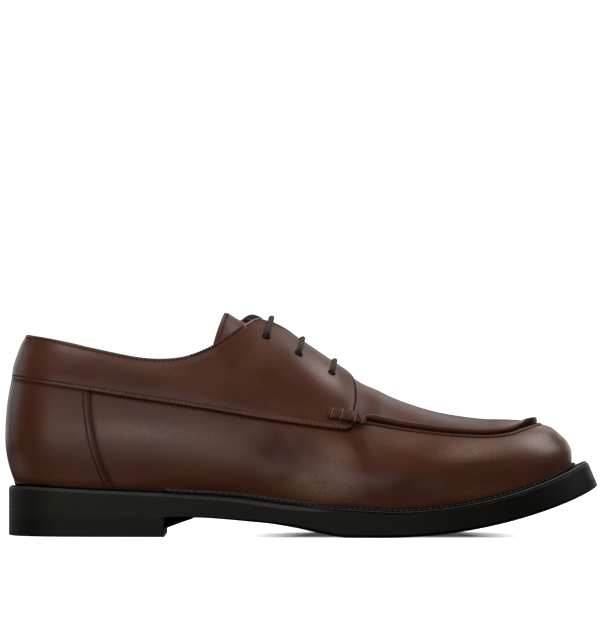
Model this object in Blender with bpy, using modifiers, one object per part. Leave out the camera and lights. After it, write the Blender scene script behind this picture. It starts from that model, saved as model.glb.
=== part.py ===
"""Lace-up moccasin-toe shoe for the right foot, with the raised heel of an elevator shoe.

Tables and functions are in millimetres: x from the end of the sole's heel to the toe, y towards the
inner (medial) side, z up from the floor. `to_metres` moves the origin under the middle of the shoe.
"""

import math
from collections import namedtuple

import bmesh
import bpy
import numpy as np

# Sizes that drive the shoe
UPPER_WALL = 1.8            # vamp leather with its lining
QUARTER_LEATHER = 1.8       # quarter laid over the wall, edge turned in
COUNTER_LEATHER = 0.9       # heel counter laid over the wall
APRON_LEATHER = 1.3         # apron laid over the wall
TONGUE_LEATHER = 2.2
FIT_GAP = 0.35              # air between pieces that lie on each other
SOLE_GAP = 0.3
HEEL_BREAST = 80.3          # front face of the heel
HEEL_HEIGHT = 9.6
WEDGE_REACH = 14.8          # web that runs forward from the heel breast
WEDGE_FOOT = 4.1
WEDGE_INSET = 9.0
WEDGE_ROOT = 6.0            # how far the web reaches back into the heel
WEDGE_TIP = 0.3             # its thickness at the front
SOLE_CORNER = 0.8           # chamfer of the bottom edge
ROLL_WIDTH = 6.0            # strip along the forefoot's edge that rolls up off the floor
ROLL_HEIGHT = 1.0
ROLL_RAMP = (95.0, 150.0)
LACE_DIAMETER = 2.6
LACE_HOLE_DIAMETER = 4.4
LACE_REST = 0.15            # air between a bar and the facing
INSOLE_THICKNESS = 4.0
INSOLE_CLEARANCE = 0.7      # air between footbed and wall
HIDDEN_LIFT = 26.0          # what the insole raises the wearer's heel by, inside the shoe

# Middle of the shoe's box, where the origin stands
ORIGIN_X = 149.3
MM = 0.001

# Top edge of the sole in plan: distances of its outer and inner side from the shoe's axis
PlanRow = namedtuple("PlanRow", "x lateral medial")
HEEL_TIP = (0.0, 5.0)
TOE_TIP = (296.4, 7.0)
PLAN = [
    PlanRow(6.0, 17.0, 27.0),
    PlanRow(18.0, 27.5, 37.5),
    PlanRow(38.0, 32.5, 42.0),
    PlanRow(62.0, 34.0, 42.0),
    PlanRow(85.0, 35.0, 39.5),
    PlanRow(108.0, 37.5, 37.8),
    PlanRow(132.0, 42.5, 39.0),
    PlanRow(156.0, 49.0, 45.0),
    PlanRow(178.0, 53.8, 51.2),
    PlanRow(198.0, 55.5, 54.8),
    PlanRow(218.0, 54.3, 55.3),
    PlanRow(238.0, 50.0, 53.0),
    PlanRow(256.0, 44.5, 48.8),
    PlanRow(272.0, 35.8, 42.6),
    PlanRow(286.5, 22.8, 32.8),
    PlanRow(294.2, 9.2, 21.4),
]

# Side profile of the sole behind the toe spring: its top edge and its underside
ProfileRow = namedtuple("ProfileRow", "x edge under")
PROFILE = [
    ProfileRow(0.0, 25.3, 9.9),
    ProfileRow(45.0, 23.6, 9.9),
    ProfileRow(80.0, 22.3, 9.9),
    ProfileRow(98.0, 21.3, 9.75),
    ProfileRow(109.0, 20.7, 9.1),
    ProfileRow(120.0, 19.7, 8.15),
    ProfileRow(134.0, 17.7, 6.8),
    ProfileRow(148.0, 15.8, 4.5),
    ProfileRow(160.0, 14.4, 2.0),
    ProfileRow(173.0, 13.6, 0.0),
    ProfileRow(198.0, 12.3, 0.0),
]
# Toe spring: arcs that leave the profile and the floor
EDGE_SPRING_START, EDGE_SPRING_RADIUS = 194.0, 222.0
UNDER_SPRING_START, UNDER_SPRING_RADIUS = 190.0, 269.0
TOE_FACE_LEAN = 0.65        # share of the spring's slope that the sole's side leans by

# The last: ridge height, fullness of the shoulder, height of the widest line over the sole's edge,
# how far the wall tucks in below that line, how far the sole stands out, and the bevel of its edge
LastRow = namedtuple("LastRow", "x ridge fullness bulge tuck welt bevel")
LAST = [
    LastRow(-4.0, 125.5, -0.015, 25.0, 5.85, 5.2, 1.0),
    LastRow(38.0, 125.5, 0.00, 24.0, 4.2, 3.4, 1.6),
    LastRow(85.0, 127.0, 0.00, 22.0, 4.5, 3.0, 2.0),
    LastRow(105.0, 120.8, -0.01, 21.0, 4.5, 3.2, 2.2),
    LastRow(127.0, 111.2, -0.04, 19.5, 4.5, 3.8, 2.4),
    LastRow(146.0, 100.0, -0.06, 18.0, 4.2, 4.8, 2.2),
    LastRow(166.0, 86.2, -0.07, 17.0, 4.0, 5.6, 0.8),
    LastRow(178.0, 78.8, -0.07, 16.5, 4.0, 6.0, 0.5),
    LastRow(191.0, 70.9, -0.06, 16.0, 3.8, 6.2, 0.5),
    LastRow(204.0, 65.5, -0.04, 15.5, 3.5, 6.4, 0.5),
    LastRow(217.0, 61.6, -0.01, 15.0, 3.0, 6.6, 0.5),
    LastRow(231.0, 59.0, 0.02, 14.0, 2.2, 6.8, 0.5),
    LastRow(245.0, 57.5, 0.04, 13.0, 1.6, 7.2, 0.6),
    LastRow(265.0, 57.5, 0.075, 9.8, 0.9, 7.6, 0.6),
    LastRow(298.0, 57.5, 0.088, 6.6, 0.4, 9.0, 0.8),
]
HEEL_CENTRE_X, TOE_CENTRE_X = 38.0, 245.0   # where the sections fan out round heel and toe
SPINE_Y = [(38.0, 5.0), (180.0, 5.0), (245.0, 6.0)]

# Lines drawn on the last: the quarter's lower edge and the collars by height, the apron seam by its
# share of the half width, and half the throat's gap
QUARTER_SEAM = [(-4.0, 79.9), (18.0, 77.0), (41.0, 73.6), (63.0, 70.1), (80.0, 67.6), (97.0, 65.0),
                (127.0, 59.9), (146.0, 57.0), (160.0, 55.0), (172.0, 53.8)]
COLLAR = [(-4.0, 102.2), (10.0, 100.7), (38.0, 96.2), (60.0, 91.6), (74.0, 89.8), (84.0, 89.9),
          (92.0, 91.2), (99.0, 93.6), (106.0, 97.0), (114.0, 102.2), (121.0, 107.0), (127.0, 109.4)]
INNER_COLLAR = [*COLLAR[:8], (106.0, 98.2), (114.0, 105.4), (121.0, 110.6), (127.0, 111.0)]
APRON_SEAM = [(170.0, 0.72), (182.0, 0.69), (192.0, 0.655), (202.0, 0.645), (215.0, 0.655),
              (230.0, 0.683), (245.0, 0.703), (255.0, 0.705), (262.0, 0.685), (268.0, 0.645),
              (298.0, 0.585)]
THROAT_GAP = [(120.0, 12.0), (127.0, 9.8), (140.0, 8.2), (160.0, 7.2), (170.0, 6.4)]
COLLAR_TO_THROAT = (121.0, 131.0)
THROAT_CLOSING = (170.0, 175.5)
SEAM_CROSSING = (171.5, 183.5)
FACING_PEAK = 124.0         # upper corner of the facing
BACK_SEAM = 0.0032          # half the slit between the quarters at the heel's back, as a station
FACING_FRONT = 177.7        # foremost point of the quarter
FACING_CORNER = 13.0        # length that the quarter's front corner is rounded over
FACING_SLANT = 3.2          # how far the quarter's front edge leans back towards its foot
SLANT_POWER = 3             # how closely that lean keeps to the foot
FACING_LIFT = 0.8           # how far the facing stands off the wall at the throat
FACING_LIFT_RAMP = (115.0, 160.0)
# How far the facings' upper edges bend off the wall
LATERAL_RISE = [(121.0, 0.0), (129.0, 0.7), (133.0, 1.7), (138.0, 1.9), (141.0, 1.7), (148.0, 0.9),
                (160.0, 0.8), (172.0, 0.4), (178.0, 0.0)]
MEDIAL_RISE = [(115.0, 0.0), (119.0, 0.6), (124.0, 1.6), (129.0, 2.2), (133.0, 1.9), (138.0, 1.9),
               (141.0, 1.7), (148.0, 0.9), (160.0, 0.8), (172.0, 0.4), (178.0, 0.0)]
RISE_POWER = 4              # how closely the bend keeps to the edge
APRON_BACK = 177.6          # where the apron starts, ahead of the quarters
APRON_REACH = 3.0           # how much further back it starts along the ridge
COUNTER_FRONT_TOP, COUNTER_FRONT_FOOT = 43.1, 54.9
# Each lace hole's place on the wall, how far its bar runs forward to the ridge, and how far it drops there
HoleRow = namedtuple("HoleRow", "x height lean sag")
LACE_HOLES = [
    HoleRow(130.8, 99.2, 1.8, 1.4),
    HoleRow(146.9, 90.4, 1.6, 1.8),
    HoleRow(163.8, 80.6, 1.0, 1.8),
]
TONGUE_FRONT = 182.0
TONGUE_END_MIDDLE, TONGUE_END_SIDE = 112.0, 105.4
TONGUE_HALF_WIDTH = [(104.0, 29.0), (125.0, 27.5), (150.0, 24.0), (183.0, 20.0)]
TONGUE_DEPTH = [(104.0, 3.7), (113.0, 4.2), (121.0, 5.2), (135.0, 3.9), (150.0, 2.7), (183.0, 2.5)]
LIFT_RAMP = (62.0, 188.0)   # where the insole's lift runs out
WELT_EDGE = 0.8             # welt above the sole's top edge at its outer side
WELT_BED = 1.3              # and beside its lip
WELT_LIP = [(70.0, 1.9), (150.0, 2.6), (200.0, 2.7), (240.0, 3.0), (270.0, 3.3), (298.0, 3.9)]
WELT_LIP_WIDTH = 1.0
WELT_GROOVE = 0.5           # from the lip to the groove beside it
WELT_RIM = 0.2              # how far the welt stops short of the sole's bevel

# How finely the surfaces are divided
FAN_STEPS, BODY_STEPS, TOE_STEPS = 9, 23, 9
OUTLINE_SAMPLES = 4000
UPPER_LEVELS = np.concatenate([[-1, -0.66, -0.33], np.linspace(0, 1, 5)[:-1], np.linspace(1, 2, 6)])
HOLE_SIDES, HOLE_REACH = 12, 6.0

LATERAL, MEDIAL = -1, 1


def natural_spline(xs, ys):
    """A smooth curve through the points, as a function of x. ys may hold several columns."""
    xs, ys = np.asarray(xs, float), np.asarray(ys, float)
    steps = np.diff(xs)
    slopes = np.diff(ys, axis=0) / (steps if ys.ndim == 1 else steps[:, None])
    system = np.eye(len(xs))
    right = np.zeros_like(ys)
    for i in range(1, len(xs) - 1):
        system[i, i - 1:i + 2] = steps[i - 1], 2 * (steps[i - 1] + steps[i]), steps[i]
        right[i] = 6 * (slopes[i] - slopes[i - 1])
    bend = np.linalg.solve(system, right)

    def at(x):
        x = np.clip(x, xs[0], xs[-1])
        i = np.clip(np.searchsorted(xs, x) - 1, 0, len(steps) - 1)
        h, a, b = steps[i], x - xs[i], xs[i + 1] - x
        if ys.ndim > 1:
            h, a, b = h[..., None], a[..., None], b[..., None]
        return ((bend[i] * b**3 + bend[i + 1] * a**3) / (6 * h)
                + (ys[i] / h - bend[i] * h / 6) * b + (ys[i + 1] / h - bend[i + 1] * h / 6) * a)

    return at


def steady_curve(xs, ys):
    """A curve through the points that never overshoots them, as a function of x."""
    xs, ys = np.asarray(xs, float), np.asarray(ys, float)
    steps, rises = np.diff(xs), np.diff(ys) / np.diff(xs)
    tangent = np.zeros_like(ys)
    for i in range(1, len(xs) - 1):
        if rises[i - 1] * rises[i] > 0:
            before, after = 2 * steps[i] + steps[i - 1], steps[i] + 2 * steps[i - 1]
            tangent[i] = (before + after) / (before / rises[i - 1] + after / rises[i])

    def at(x):
        x = np.clip(x, xs[0], xs[-1])
        i = np.clip(np.searchsorted(xs, x) - 1, 0, len(steps) - 1)
        t = (x - xs[i]) / steps[i]
        return ((1 + 2 * t) * (1 - t)**2 * ys[i] + t * (1 - t)**2 * steps[i] * tangent[i]
                + t**2 * (3 - 2 * t) * ys[i + 1] + t**2 * (t - 1) * steps[i] * tangent[i + 1])

    return at


def smooth_step(x, span):
    t = np.clip((np.asarray(x, float) - span[0]) / (span[1] - span[0]), 0, 1)
    return t * t * (3 - 2 * t)


def column(rows, name):
    return natural_spline([r.x for r in rows], [getattr(r, name) for r in rows])


last = {name: column(LAST, name) for name in LastRow._fields[1:]}
rear_edge = steady_curve([r.x for r in PROFILE], [r.edge for r in PROFILE])
rear_under = steady_curve([r.x for r in PROFILE], [r.under for r in PROFILE])
spine_y = steady_curve(*zip(*SPINE_Y))
quarter_seam = natural_spline(*zip(*QUARTER_SEAM))
apron_seam = natural_spline(*zip(*APRON_SEAM))
throat_gap = steady_curve(*zip(*THROAT_GAP))
tongue_half_width = steady_curve(*zip(*TONGUE_HALF_WIDTH))
tongue_depth = steady_curve(*zip(*TONGUE_DEPTH))
welt_lip = steady_curve(*zip(*WELT_LIP))
collar = {LATERAL: natural_spline(*zip(*COLLAR)), MEDIAL: natural_spline(*zip(*INNER_COLLAR))}
facing_rise = {LATERAL: steady_curve(*zip(*LATERAL_RISE)), MEDIAL: steady_curve(*zip(*MEDIAL_RISE))}


def spring(x, start, radius):
    reach = np.clip(np.asarray(x, float) - start, 0, radius)
    return radius - np.sqrt(radius**2 - reach**2)


def edge_height(x):
    return rear_edge(x) + spring(x, EDGE_SPRING_START, EDGE_SPRING_RADIUS)


def underside(x):
    return rear_under(x) + spring(x, UNDER_SPRING_START, UNDER_SPRING_RADIUS)


def sole_outlines():
    """Dense samples of the sole's edge, the upper's foot and its widest line, by side and station."""
    loop = [HEEL_TIP, *[(r.x, -r.lateral) for r in PLAN], TOE_TIP]
    loop += [(r.x, r.medial) for r in reversed(PLAN)]
    points = np.array(loop * 3 + [HEEL_TIP])
    along = np.concatenate([[0], np.cumsum(np.linalg.norm(np.diff(points, axis=0), axis=1))])
    around = natural_spline(along, points)
    count = len(loop)
    toe = count + len(PLAN) + 1
    spans = {LATERAL: (along[count], along[toe]), MEDIAL: (along[2 * count], along[toe])}
    made = {}
    for side, (start, end) in spans.items():
        t = np.linspace(start, end, OUTLINE_SAMPLES)
        edge = around(t)
        ahead = np.gradient(edge, t, axis=0) * np.sign(end - start)
        ahead /= np.linalg.norm(ahead, axis=1)[:, None]
        outward = np.stack([ahead[:, 1], -ahead[:, 0]], axis=1) * -side
        foot = edge - outward * last["welt"](edge[:, 0])[:, None]
        widest = foot + outward * last["tuck"](edge[:, 0])[:, None]
        made[side] = {"station": station_of(widest, side), "edge": edge, "foot": foot, "widest": widest,
                      "outward": outward}
    return made


def station_of(points, side):
    """0 to 1 round the heel, 1 to 2 along the shoe, 2 to 3 round the toe, for samples from heel to toe."""
    x, y = points[:, 0], points[:, 1]
    heel = np.arctan2(side * (y - spine_y(HEEL_CENTRE_X)), HEEL_CENTRE_X - x)
    toe = np.arctan2(x - TOE_CENTRE_X, side * (y - spine_y(TOE_CENTRE_X)))
    round_heel = (heel - heel[0]) / (math.pi / 2 - heel[0])
    body = 1 + (x - HEEL_CENTRE_X) / (TOE_CENTRE_X - HEEL_CENTRE_X)
    round_toe = 2 + toe / toe[-1]
    return np.where(x < HEEL_CENTRE_X, round_heel, np.where(x > TOE_CENTRE_X, round_toe, body))


OUTLINES = sole_outlines()


def plan_point(side, station, line):
    """The point in plan of one of the outlines at a station."""
    samples = OUTLINES[side]
    return np.stack([np.interp(station, samples["station"], samples[line][:, i]) for i in (0, 1)], axis=-1)


def station_at(x):
    """The station of a section across the shoe at x."""
    return 1 + (np.asarray(x, float) - HEEL_CENTRE_X) / (TOE_CENTRE_X - HEEL_CENTRE_X)


ANGLES = np.linspace(0, math.pi / 2, 400)


def section_shape(angle, fullness):
    """Share of half width and of height at an angle from the widest line to the ridge."""
    swell = 1 + fullness * np.sin(2 * angle)**2
    return np.cos(angle) * swell, np.sin(angle) * swell


def angle_at(share, fullness, which):
    """The angle at which a section reaches a share of its half width (0) or its height (1)."""
    found = []
    for s, f in np.broadcast(share, fullness):
        shares = section_shape(ANGLES, f)[which]
        found.append(np.interp(s, shares, ANGLES) if which else np.interp(-s, -shares, ANGLES))
    return np.array(found).reshape(np.broadcast(share, fullness).shape)


def section(side, station):
    """What a section through the last is made of at a station on one side."""
    widest = plan_point(side, station, "widest")
    foot = plan_point(side, station, "foot")
    x = widest[..., 0]
    centre_x = np.clip(x, HEEL_CENTRE_X, TOE_CENTRE_X)
    centre = np.stack([centre_x, spine_y(centre_x)], axis=-1)
    half_width = np.linalg.norm(widest - centre, axis=-1)
    foot_height = edge_height(foot[..., 0]) + SOLE_GAP
    widest_height = foot_height + last["bulge"](x)
    rise = last["ridge"](centre_x) - widest_height
    fullness = last["fullness"](x)
    by_quarter = angle_at((quarter_seam(x) - widest_height) / rise, fullness, 1)
    by_apron = angle_at(apron_seam(x), fullness, 0)
    seam = by_quarter + (by_apron - by_quarter) * smooth_step(x, SEAM_CROSSING)
    by_collar = angle_at(np.clip((collar[side](x) - widest_height) / rise, 0, 1), fullness, 1)
    gap = throat_gap(x) * (1 - smooth_step(x, THROAT_CLOSING))
    by_throat = angle_at(gap / half_width, fullness, 0)
    top = by_collar + (by_throat - by_collar) * smooth_step(x, COLLAR_TO_THROAT)
    return dict(widest=widest, foot=foot, centre=centre, foot_height=foot_height, fullness=fullness,
                widest_height=widest_height, rise=rise, seam=seam, top=top)


def skin(side, station, level):
    """Outer face of the wall. Level -1 is its foot, 0 its widest line, 1 the seam, 2 its top edge."""
    station, level = np.broadcast_arrays(np.asarray(station, float), np.asarray(level, float))
    s = section(side, station)
    below = np.clip(-level, 0, 1)[..., None]
    angle = np.where(level < 1, np.clip(level, 0, 1) * s["seam"],
                     s["seam"] + (level - 1) * (s["top"] - s["seam"]))
    width, height = section_shape(np.minimum(angle, math.pi / 2), s["fullness"])
    plan = s["centre"] + (s["widest"] - s["centre"]) * width[..., None]
    plan = plan + (s["foot"] - s["widest"]) * below**2
    z = s["widest_height"] + s["rise"] * height
    z = z - (s["widest_height"] - s["foot_height"]) * below[..., 0]
    return np.concatenate([plan, z[..., None]], axis=-1)


def skin_normal(side, station, level):
    """Outward direction of the wall, taken just off the ridge where the sections meet."""
    d = 0.004
    level = np.clip(level, -1 + d, ridge_level(side, station) - 8 * d)
    station = np.clip(station, d, 3 - d)
    across = skin(side, station + d, level) - skin(side, station - d, level)
    up = skin(side, station, level + d) - skin(side, station, level - d)
    normal = np.cross(across, up) * -side
    return normal / np.linalg.norm(normal, axis=-1)[..., None]


def level_at_angle(side, station, angle):
    """The level above the seam that stands at an angle of the section."""
    s = section(side, np.asarray(station, float))
    return 1 + (angle - s["seam"]) / (s["top"] - s["seam"])


def ridge_level(side, station):
    """The level of the ridge: 2, or more where the throat cuts the wall short of it."""
    return level_at_angle(side, station, math.pi / 2)


def level_off_ridge(side, station, distance):
    """The level that lies a distance in plan from the ridge."""
    s = section(side, np.asarray(station, float))
    half_width = np.linalg.norm(s["widest"] - s["centre"], axis=-1)
    return level_at_angle(side, station, angle_at(distance / half_width, s["fullness"], 0))


def lifted(side, station, level, lift):
    """A point at a distance off the wall's outer face."""
    lift = np.asarray(lift, float)[..., None]
    return skin(side, station, level) + skin_normal(side, station, level) * lift


def level_at_height(side, station, z):
    """The level between foot and top edge at which the wall reaches a height."""
    levels = np.linspace(-1, 2, 600)
    return float(np.interp(z, skin(side, station, levels)[:, 2], levels))


def to_metres(points):
    return (np.asarray(points, float) - (ORIGIN_X, 0, 0)) * MM


# Building the objects

def collection_named(name):
    made = bpy.data.collections.new(name)
    bpy.context.scene.collection.children.link(made)
    return made


def material_named(name, colour, roughness):
    made = bpy.data.materials.new(name)
    made.use_nodes = True
    shader = made.node_tree.nodes["Principled BSDF"]
    shader.inputs["Base Color"].default_value = (*colour, 1)
    shader.inputs["Roughness"].default_value = roughness
    shader.inputs["Metallic"].default_value = 0.0
    return made


def add_mesh(name, points, faces, material, collection):
    mesh = bpy.data.meshes.new(name)
    mesh.from_pydata([tuple(p) for p in to_metres(points)], [], faces)
    welded = bmesh.new()
    welded.from_mesh(mesh)
    bmesh.ops.remove_doubles(welded, verts=welded.verts, dist=1e-6)
    welded.to_mesh(mesh)
    welded.free()
    mesh.shade_smooth()
    if material:
        mesh.materials.append(material)
    obj = bpy.data.objects.new(name, mesh)
    collection.objects.link(obj)
    return obj


def grid_faces(columns, rows, closed=False):
    """Quads of a grid whose points are listed column by column, each column from the foot up."""
    faces = []
    for i in range(columns if closed else columns - 1):
        a, b = i * rows, (i + 1) % columns * rows
        faces += [(a + j, b + j, b + j + 1, a + j + 1) for j in range(rows - 1)]
    return faces


def add_sheet(name, grid, thickness, outward, material, collection, closed=False):
    """A leather sheet: a grid of points given thickness to its outer or its inner side."""
    columns, rows = grid.shape[:2]
    obj = add_mesh(name, grid.reshape(-1, 3), grid_faces(columns, rows, closed), material, collection)
    solid = obj.modifiers.new("thickness", "SOLIDIFY")
    solid.thickness = thickness * MM
    solid.offset = 1 if outward else -1
    solid.use_even_offset = True
    return obj


def add_stack(name, rings, material, collection):
    """A solid between stacked rings, lowest first. Each ring runs along the lateral side, then back."""
    count = len(rings[0])
    faces = []
    for k in range(len(rings) - 1):
        low, high = k * count, (k + 1) * count
        faces += [(low + i, low + (i + 1) % count, high + (i + 1) % count, high + i) for i in range(count)]
    for base, order in ((0, -1), ((len(rings) - 1) * count, 1)):
        for i in range(count // 2):
            across = [base + i, base + i + 1, base + (count - 1 - i - 1) % count, base + count - 1 - i]
            faces.append(tuple(across[::order]))
    return add_mesh(name, np.concatenate(rings), faces, material, collection)


def body_stations():
    """Stations of the sections from the heel's back to the toe's tip."""
    heel = np.linspace(0, 1, FAN_STEPS, endpoint=False)
    body = np.linspace(1, 2, BODY_STEPS, endpoint=False)
    return np.concatenate([heel, body, np.linspace(2, 3, TOE_STEPS + 1)])


def round_loop(stations):
    """(side, station) along the lateral side from heel to toe and back along the medial side."""
    return [(LATERAL, s) for s in stations] + [(MEDIAL, s) for s in stations[::-1][1:-1]]


def sole_ring(loop, inset, height, lean=0.0):
    """A ring of the sole: its edge drawn in by a distance, at a height that is a function of x."""
    ring = []
    for side, station in loop:
        edge = plan_point(side, station, "edge") - plan_point(side, station, "outward") * inset(station)
        x = edge[0] + lean * toe_lean(edge[0])
        ring.append((x, edge[1], float(height(x))))
    return np.array(ring)


def toe_lean(x):
    """How far the foot of the sole's side stands ahead of its top edge, in the toe spring."""
    slope = np.clip(x - EDGE_SPRING_START, 0, None) / EDGE_SPRING_RADIUS
    return (edge_height(x) - underside(x)) * TOE_FACE_LEAN * slope


def station_bevel(station):
    return float(last["bevel"](plan_point(LATERAL, station, "edge")[0]))


def roll(x):
    """How far the sole's bottom edge stands off the underside's middle."""
    return ROLL_HEIGHT * smooth_step(x, ROLL_RAMP)


def flush(station):
    return 0.0


def chamfer(station):
    return SOLE_CORNER


def rolled_strip(station):
    """Inset of the flat underside, past the strip that rolls up."""
    return SOLE_CORNER + ROLL_WIDTH * float(roll(plan_point(LATERAL, station, "edge")[0]))


def make_outsole(material, parts):
    loop = round_loop(body_stations())
    rings = [
        sole_ring(loop, rolled_strip, underside, 1),
        sole_ring(loop, chamfer, lambda x: underside(x) + roll(x), 1),
        sole_ring(loop, flush, lambda x: underside(x) + roll(x) + SOLE_CORNER, 1),
        sole_ring(loop, flush, lambda x: edge_height(x) - float(last["bevel"](x))),
        sole_ring(loop, station_bevel, edge_height),
    ]
    return add_stack("outsole", rings, material, parts)


def add_wedge(name, collection):
    """The web ahead of the heel breast, set in from the sole's sides."""
    root, tip = HEEL_BREAST - WEDGE_ROOT, HEEL_BREAST + WEDGE_REACH
    station = station_at(tip)
    sides = [plan_point(side, station, "edge")[1] - side * WEDGE_INSET for side in (LATERAL, MEDIAL)]
    profile = [(root, WEDGE_FOOT), (HEEL_BREAST, WEDGE_FOOT), (tip, HEEL_HEIGHT - WEDGE_TIP),
               (tip, HEEL_HEIGHT), (root, HEEL_HEIGHT)]
    count = len(profile)
    points = [(x, y, z) for y in sides for x, z in profile]
    faces = [tuple(range(count)), tuple(range(2 * count - 1, count - 1, -1))]
    faces += [(i, i + count, (i + 1) % count + count, (i + 1) % count) for i in range(count)]
    return add_mesh(name, points, faces, None, collection)


def make_heel(material, parts, cutters):
    stations = [s for s in body_stations() if s < station_at(HEEL_BREAST) - 0.02]
    stations.append(float(station_at(HEEL_BREAST)))
    loop = [(LATERAL, s) for s in stations] + [(MEDIAL, s) for s in stations[::-1][:-1]]
    rings = [
        sole_ring(loop, chamfer, lambda x: 0.0),
        sole_ring(loop, flush, lambda x: SOLE_CORNER),
        sole_ring(loop, flush, lambda x: HEEL_HEIGHT),
    ]
    heel = add_stack("heel", rings, material, parts)
    join(heel, add_wedge("heel_wedge", cutters), "UNION")


def join(obj, other, operation):
    modifier = obj.modifiers.new(operation.lower(), "BOOLEAN")
    modifier.operation = operation
    modifier.solver = "EXACT"
    modifier.object = other
    other.hide_render = True
    other.display_type = "WIRE"


def make_welt(material, parts):
    """A strip on the sole's edge, from heel breast round the toe to heel breast, its lip at the upper."""
    start = float(station_at(HEEL_BREAST))
    stations = [start] + [s for s in body_stations() if s > start + 0.02]
    loop = [(LATERAL, s) for s in stations] + [(MEDIAL, s) for s in stations[::-1][1:]]
    points = []
    for side, station in loop:
        s = section(side, np.asarray(station))
        edge, outward = plan_point(side, station, "edge"), plan_point(side, station, "outward")
        base = float(s["foot_height"])
        lip = base - SOLE_GAP + float(welt_lip(edge[0]))
        outer = base - SOLE_GAP + WELT_EDGE
        depth = 1 - (lip - base) / float(s["widest_height"] - base)
        lean = np.linalg.norm(s["widest"] - s["foot"]) * (1 - depth**2)
        foot_in = s["foot"] + outward * FIT_GAP
        lip_in = s["foot"] + outward * (FIT_GAP + lean)
        lip_out = lip_in + outward * WELT_LIP_WIDTH
        groove = lip_out + outward * WELT_GROOVE
        rim = edge - outward * (station_bevel(station) + WELT_RIM)
        rise = edge_height(rim[0]) - edge_height(s["foot"][0])
        bed = base - SOLE_GAP + WELT_BED
        profile = ((foot_in, base), (rim, base + rise), (rim, outer + rise), (groove, bed),
                   (lip_out, lip), (lip_in, lip))
        points += [(*plan, z) for plan, z in profile]
    count = 6
    faces = [tuple(range(count)), tuple(range(len(points) - 1, len(points) - 1 - count, -1))]
    for k in range(len(loop) - 1):
        a, b = k * count, (k + 1) * count
        faces += [(a + i, b + i, b + (i + 1) % count, a + (i + 1) % count) for i in range(count)]
    return add_mesh("welt", points, faces, material, parts)


def make_insole(material, parts):
    """Footbed between the walls, with the lift under the heel."""
    low, high = [], []
    for side, station in round_loop(body_stations()):
        s = section(side, np.asarray(station))
        x = float(s["foot"][0])
        base = float(s["foot_height"])
        top = base + INSOLE_THICKNESS + HIDDEN_LIFT * (1 - float(smooth_step(x, LIFT_RAMP)))
        inside = -(UPPER_WALL + INSOLE_CLEARANCE)
        foot = lifted(side, station, -1.0, inside)
        low.append((foot[0], foot[1], base))
        shoulder = lifted(side, station, level_at_height(side, station, top), inside)
        high.append((shoulder[0], shoulder[1], top))
    return add_stack("insole", [np.array(low), np.array(high)], material, parts)


def make_upper(material, parts, holes):
    loop = round_loop(body_stations())
    grid = np.array([skin(side, station, UPPER_LEVELS) for side, station in loop])
    upper = add_sheet("upper", grid, UPPER_WALL, False, material, parts, closed=True)
    for hole in holes:
        join(upper, hole, "DIFFERENCE")


def quarter_stations(row):
    """Stations along the quarter at a share of its height, and how far each is into the front corner."""
    corner_start = FACING_FRONT - FACING_CORNER
    body = [s for s in body_stations() if s < station_at(corner_start - 3)]
    body[0] = BACK_SEAM
    body = sorted(body + [float(station_at(FACING_PEAK))])
    turn = np.sin(np.radians(np.linspace(0, 80, 6)))
    front = station_at(corner_start + FACING_CORNER * turn - FACING_SLANT * (1 - row)**SLANT_POWER * turn)
    return np.concatenate([body, front]), np.concatenate([np.zeros(len(body)), turn])


def make_quarter(name, side, material, parts, holes):
    rows = []
    for row in np.linspace(0, 1, 6):
        stations, turn = quarter_stations(row)
        x = plan_point(side, stations, "widest")[:, 0]
        facing = level_off_ridge(side, stations, throat_gap(x))
        top = 1 + (np.where(x < COLLAR_TO_THROAT[1], 2.0, facing) - 1) * (1 - turn**4)**0.25
        lift = FIT_GAP + FACING_LIFT * smooth_step(x, FACING_LIFT_RAMP) * (0.25 + 0.75 * row)
        rise = facing_rise[side](x) * row**RISE_POWER
        rows.append(lifted(side, stations, 1 + (top - 1) * row, lift + rise))
    grid = np.stack(rows, axis=1)
    if side == MEDIAL:
        grid = grid[::-1]
    quarter = add_sheet(name, grid, QUARTER_LEATHER, True, material, parts)
    for hole in holes:
        join(quarter, hole, "DIFFERENCE")


def make_counter(material, parts):
    columns = []
    levels = np.linspace(-0.96, 0.97, 7)
    front = COUNTER_FRONT_TOP + (COUNTER_FRONT_FOOT - COUNTER_FRONT_TOP) * ((1 - levels) / 2)**2
    for share in np.linspace(-1, 1, 23):
        side = LATERAL if share < 0 else MEDIAL
        stations = station_at(front) * abs(share)
        columns.append(lifted(side, stations, levels, np.full(len(levels), FIT_GAP)))
    add_sheet("counter", np.array(columns)[::-1], COUNTER_LEATHER, True, material, parts)


def make_apron(material, parts):
    columns = []
    levels = np.linspace(1, 2, 6)
    back = station_at(APRON_BACK - APRON_REACH * np.clip((levels - 1.7) / 0.3, 0, 1))
    body = [s for s in body_stations() if s > station_at(APRON_BACK + 3)]
    places = [(LATERAL, s) for s in [back, *body]] + [(MEDIAL, s) for s in [*body[::-1][1:], back]]
    for side, station in places:
        stations = np.broadcast_to(station, levels.shape)
        column = lifted(side, stations, levels, np.full(len(levels), FIT_GAP))
        other = lifted(-side, stations, levels, np.full(len(levels), FIT_GAP))
        column[-1] = (column[-1] + other[-1]) / 2
        columns.append(column)
    pole = np.mean([c[-1] for c in columns if abs(c[-1][0] - TOE_CENTRE_X) < 1.0], axis=0)
    for c in columns:
        if abs(c[-1][0] - TOE_CENTRE_X) < 1.0:
            c[-1] = pole
    add_sheet("apron", np.array(columns), APRON_LEATHER, True, material, parts)


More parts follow.
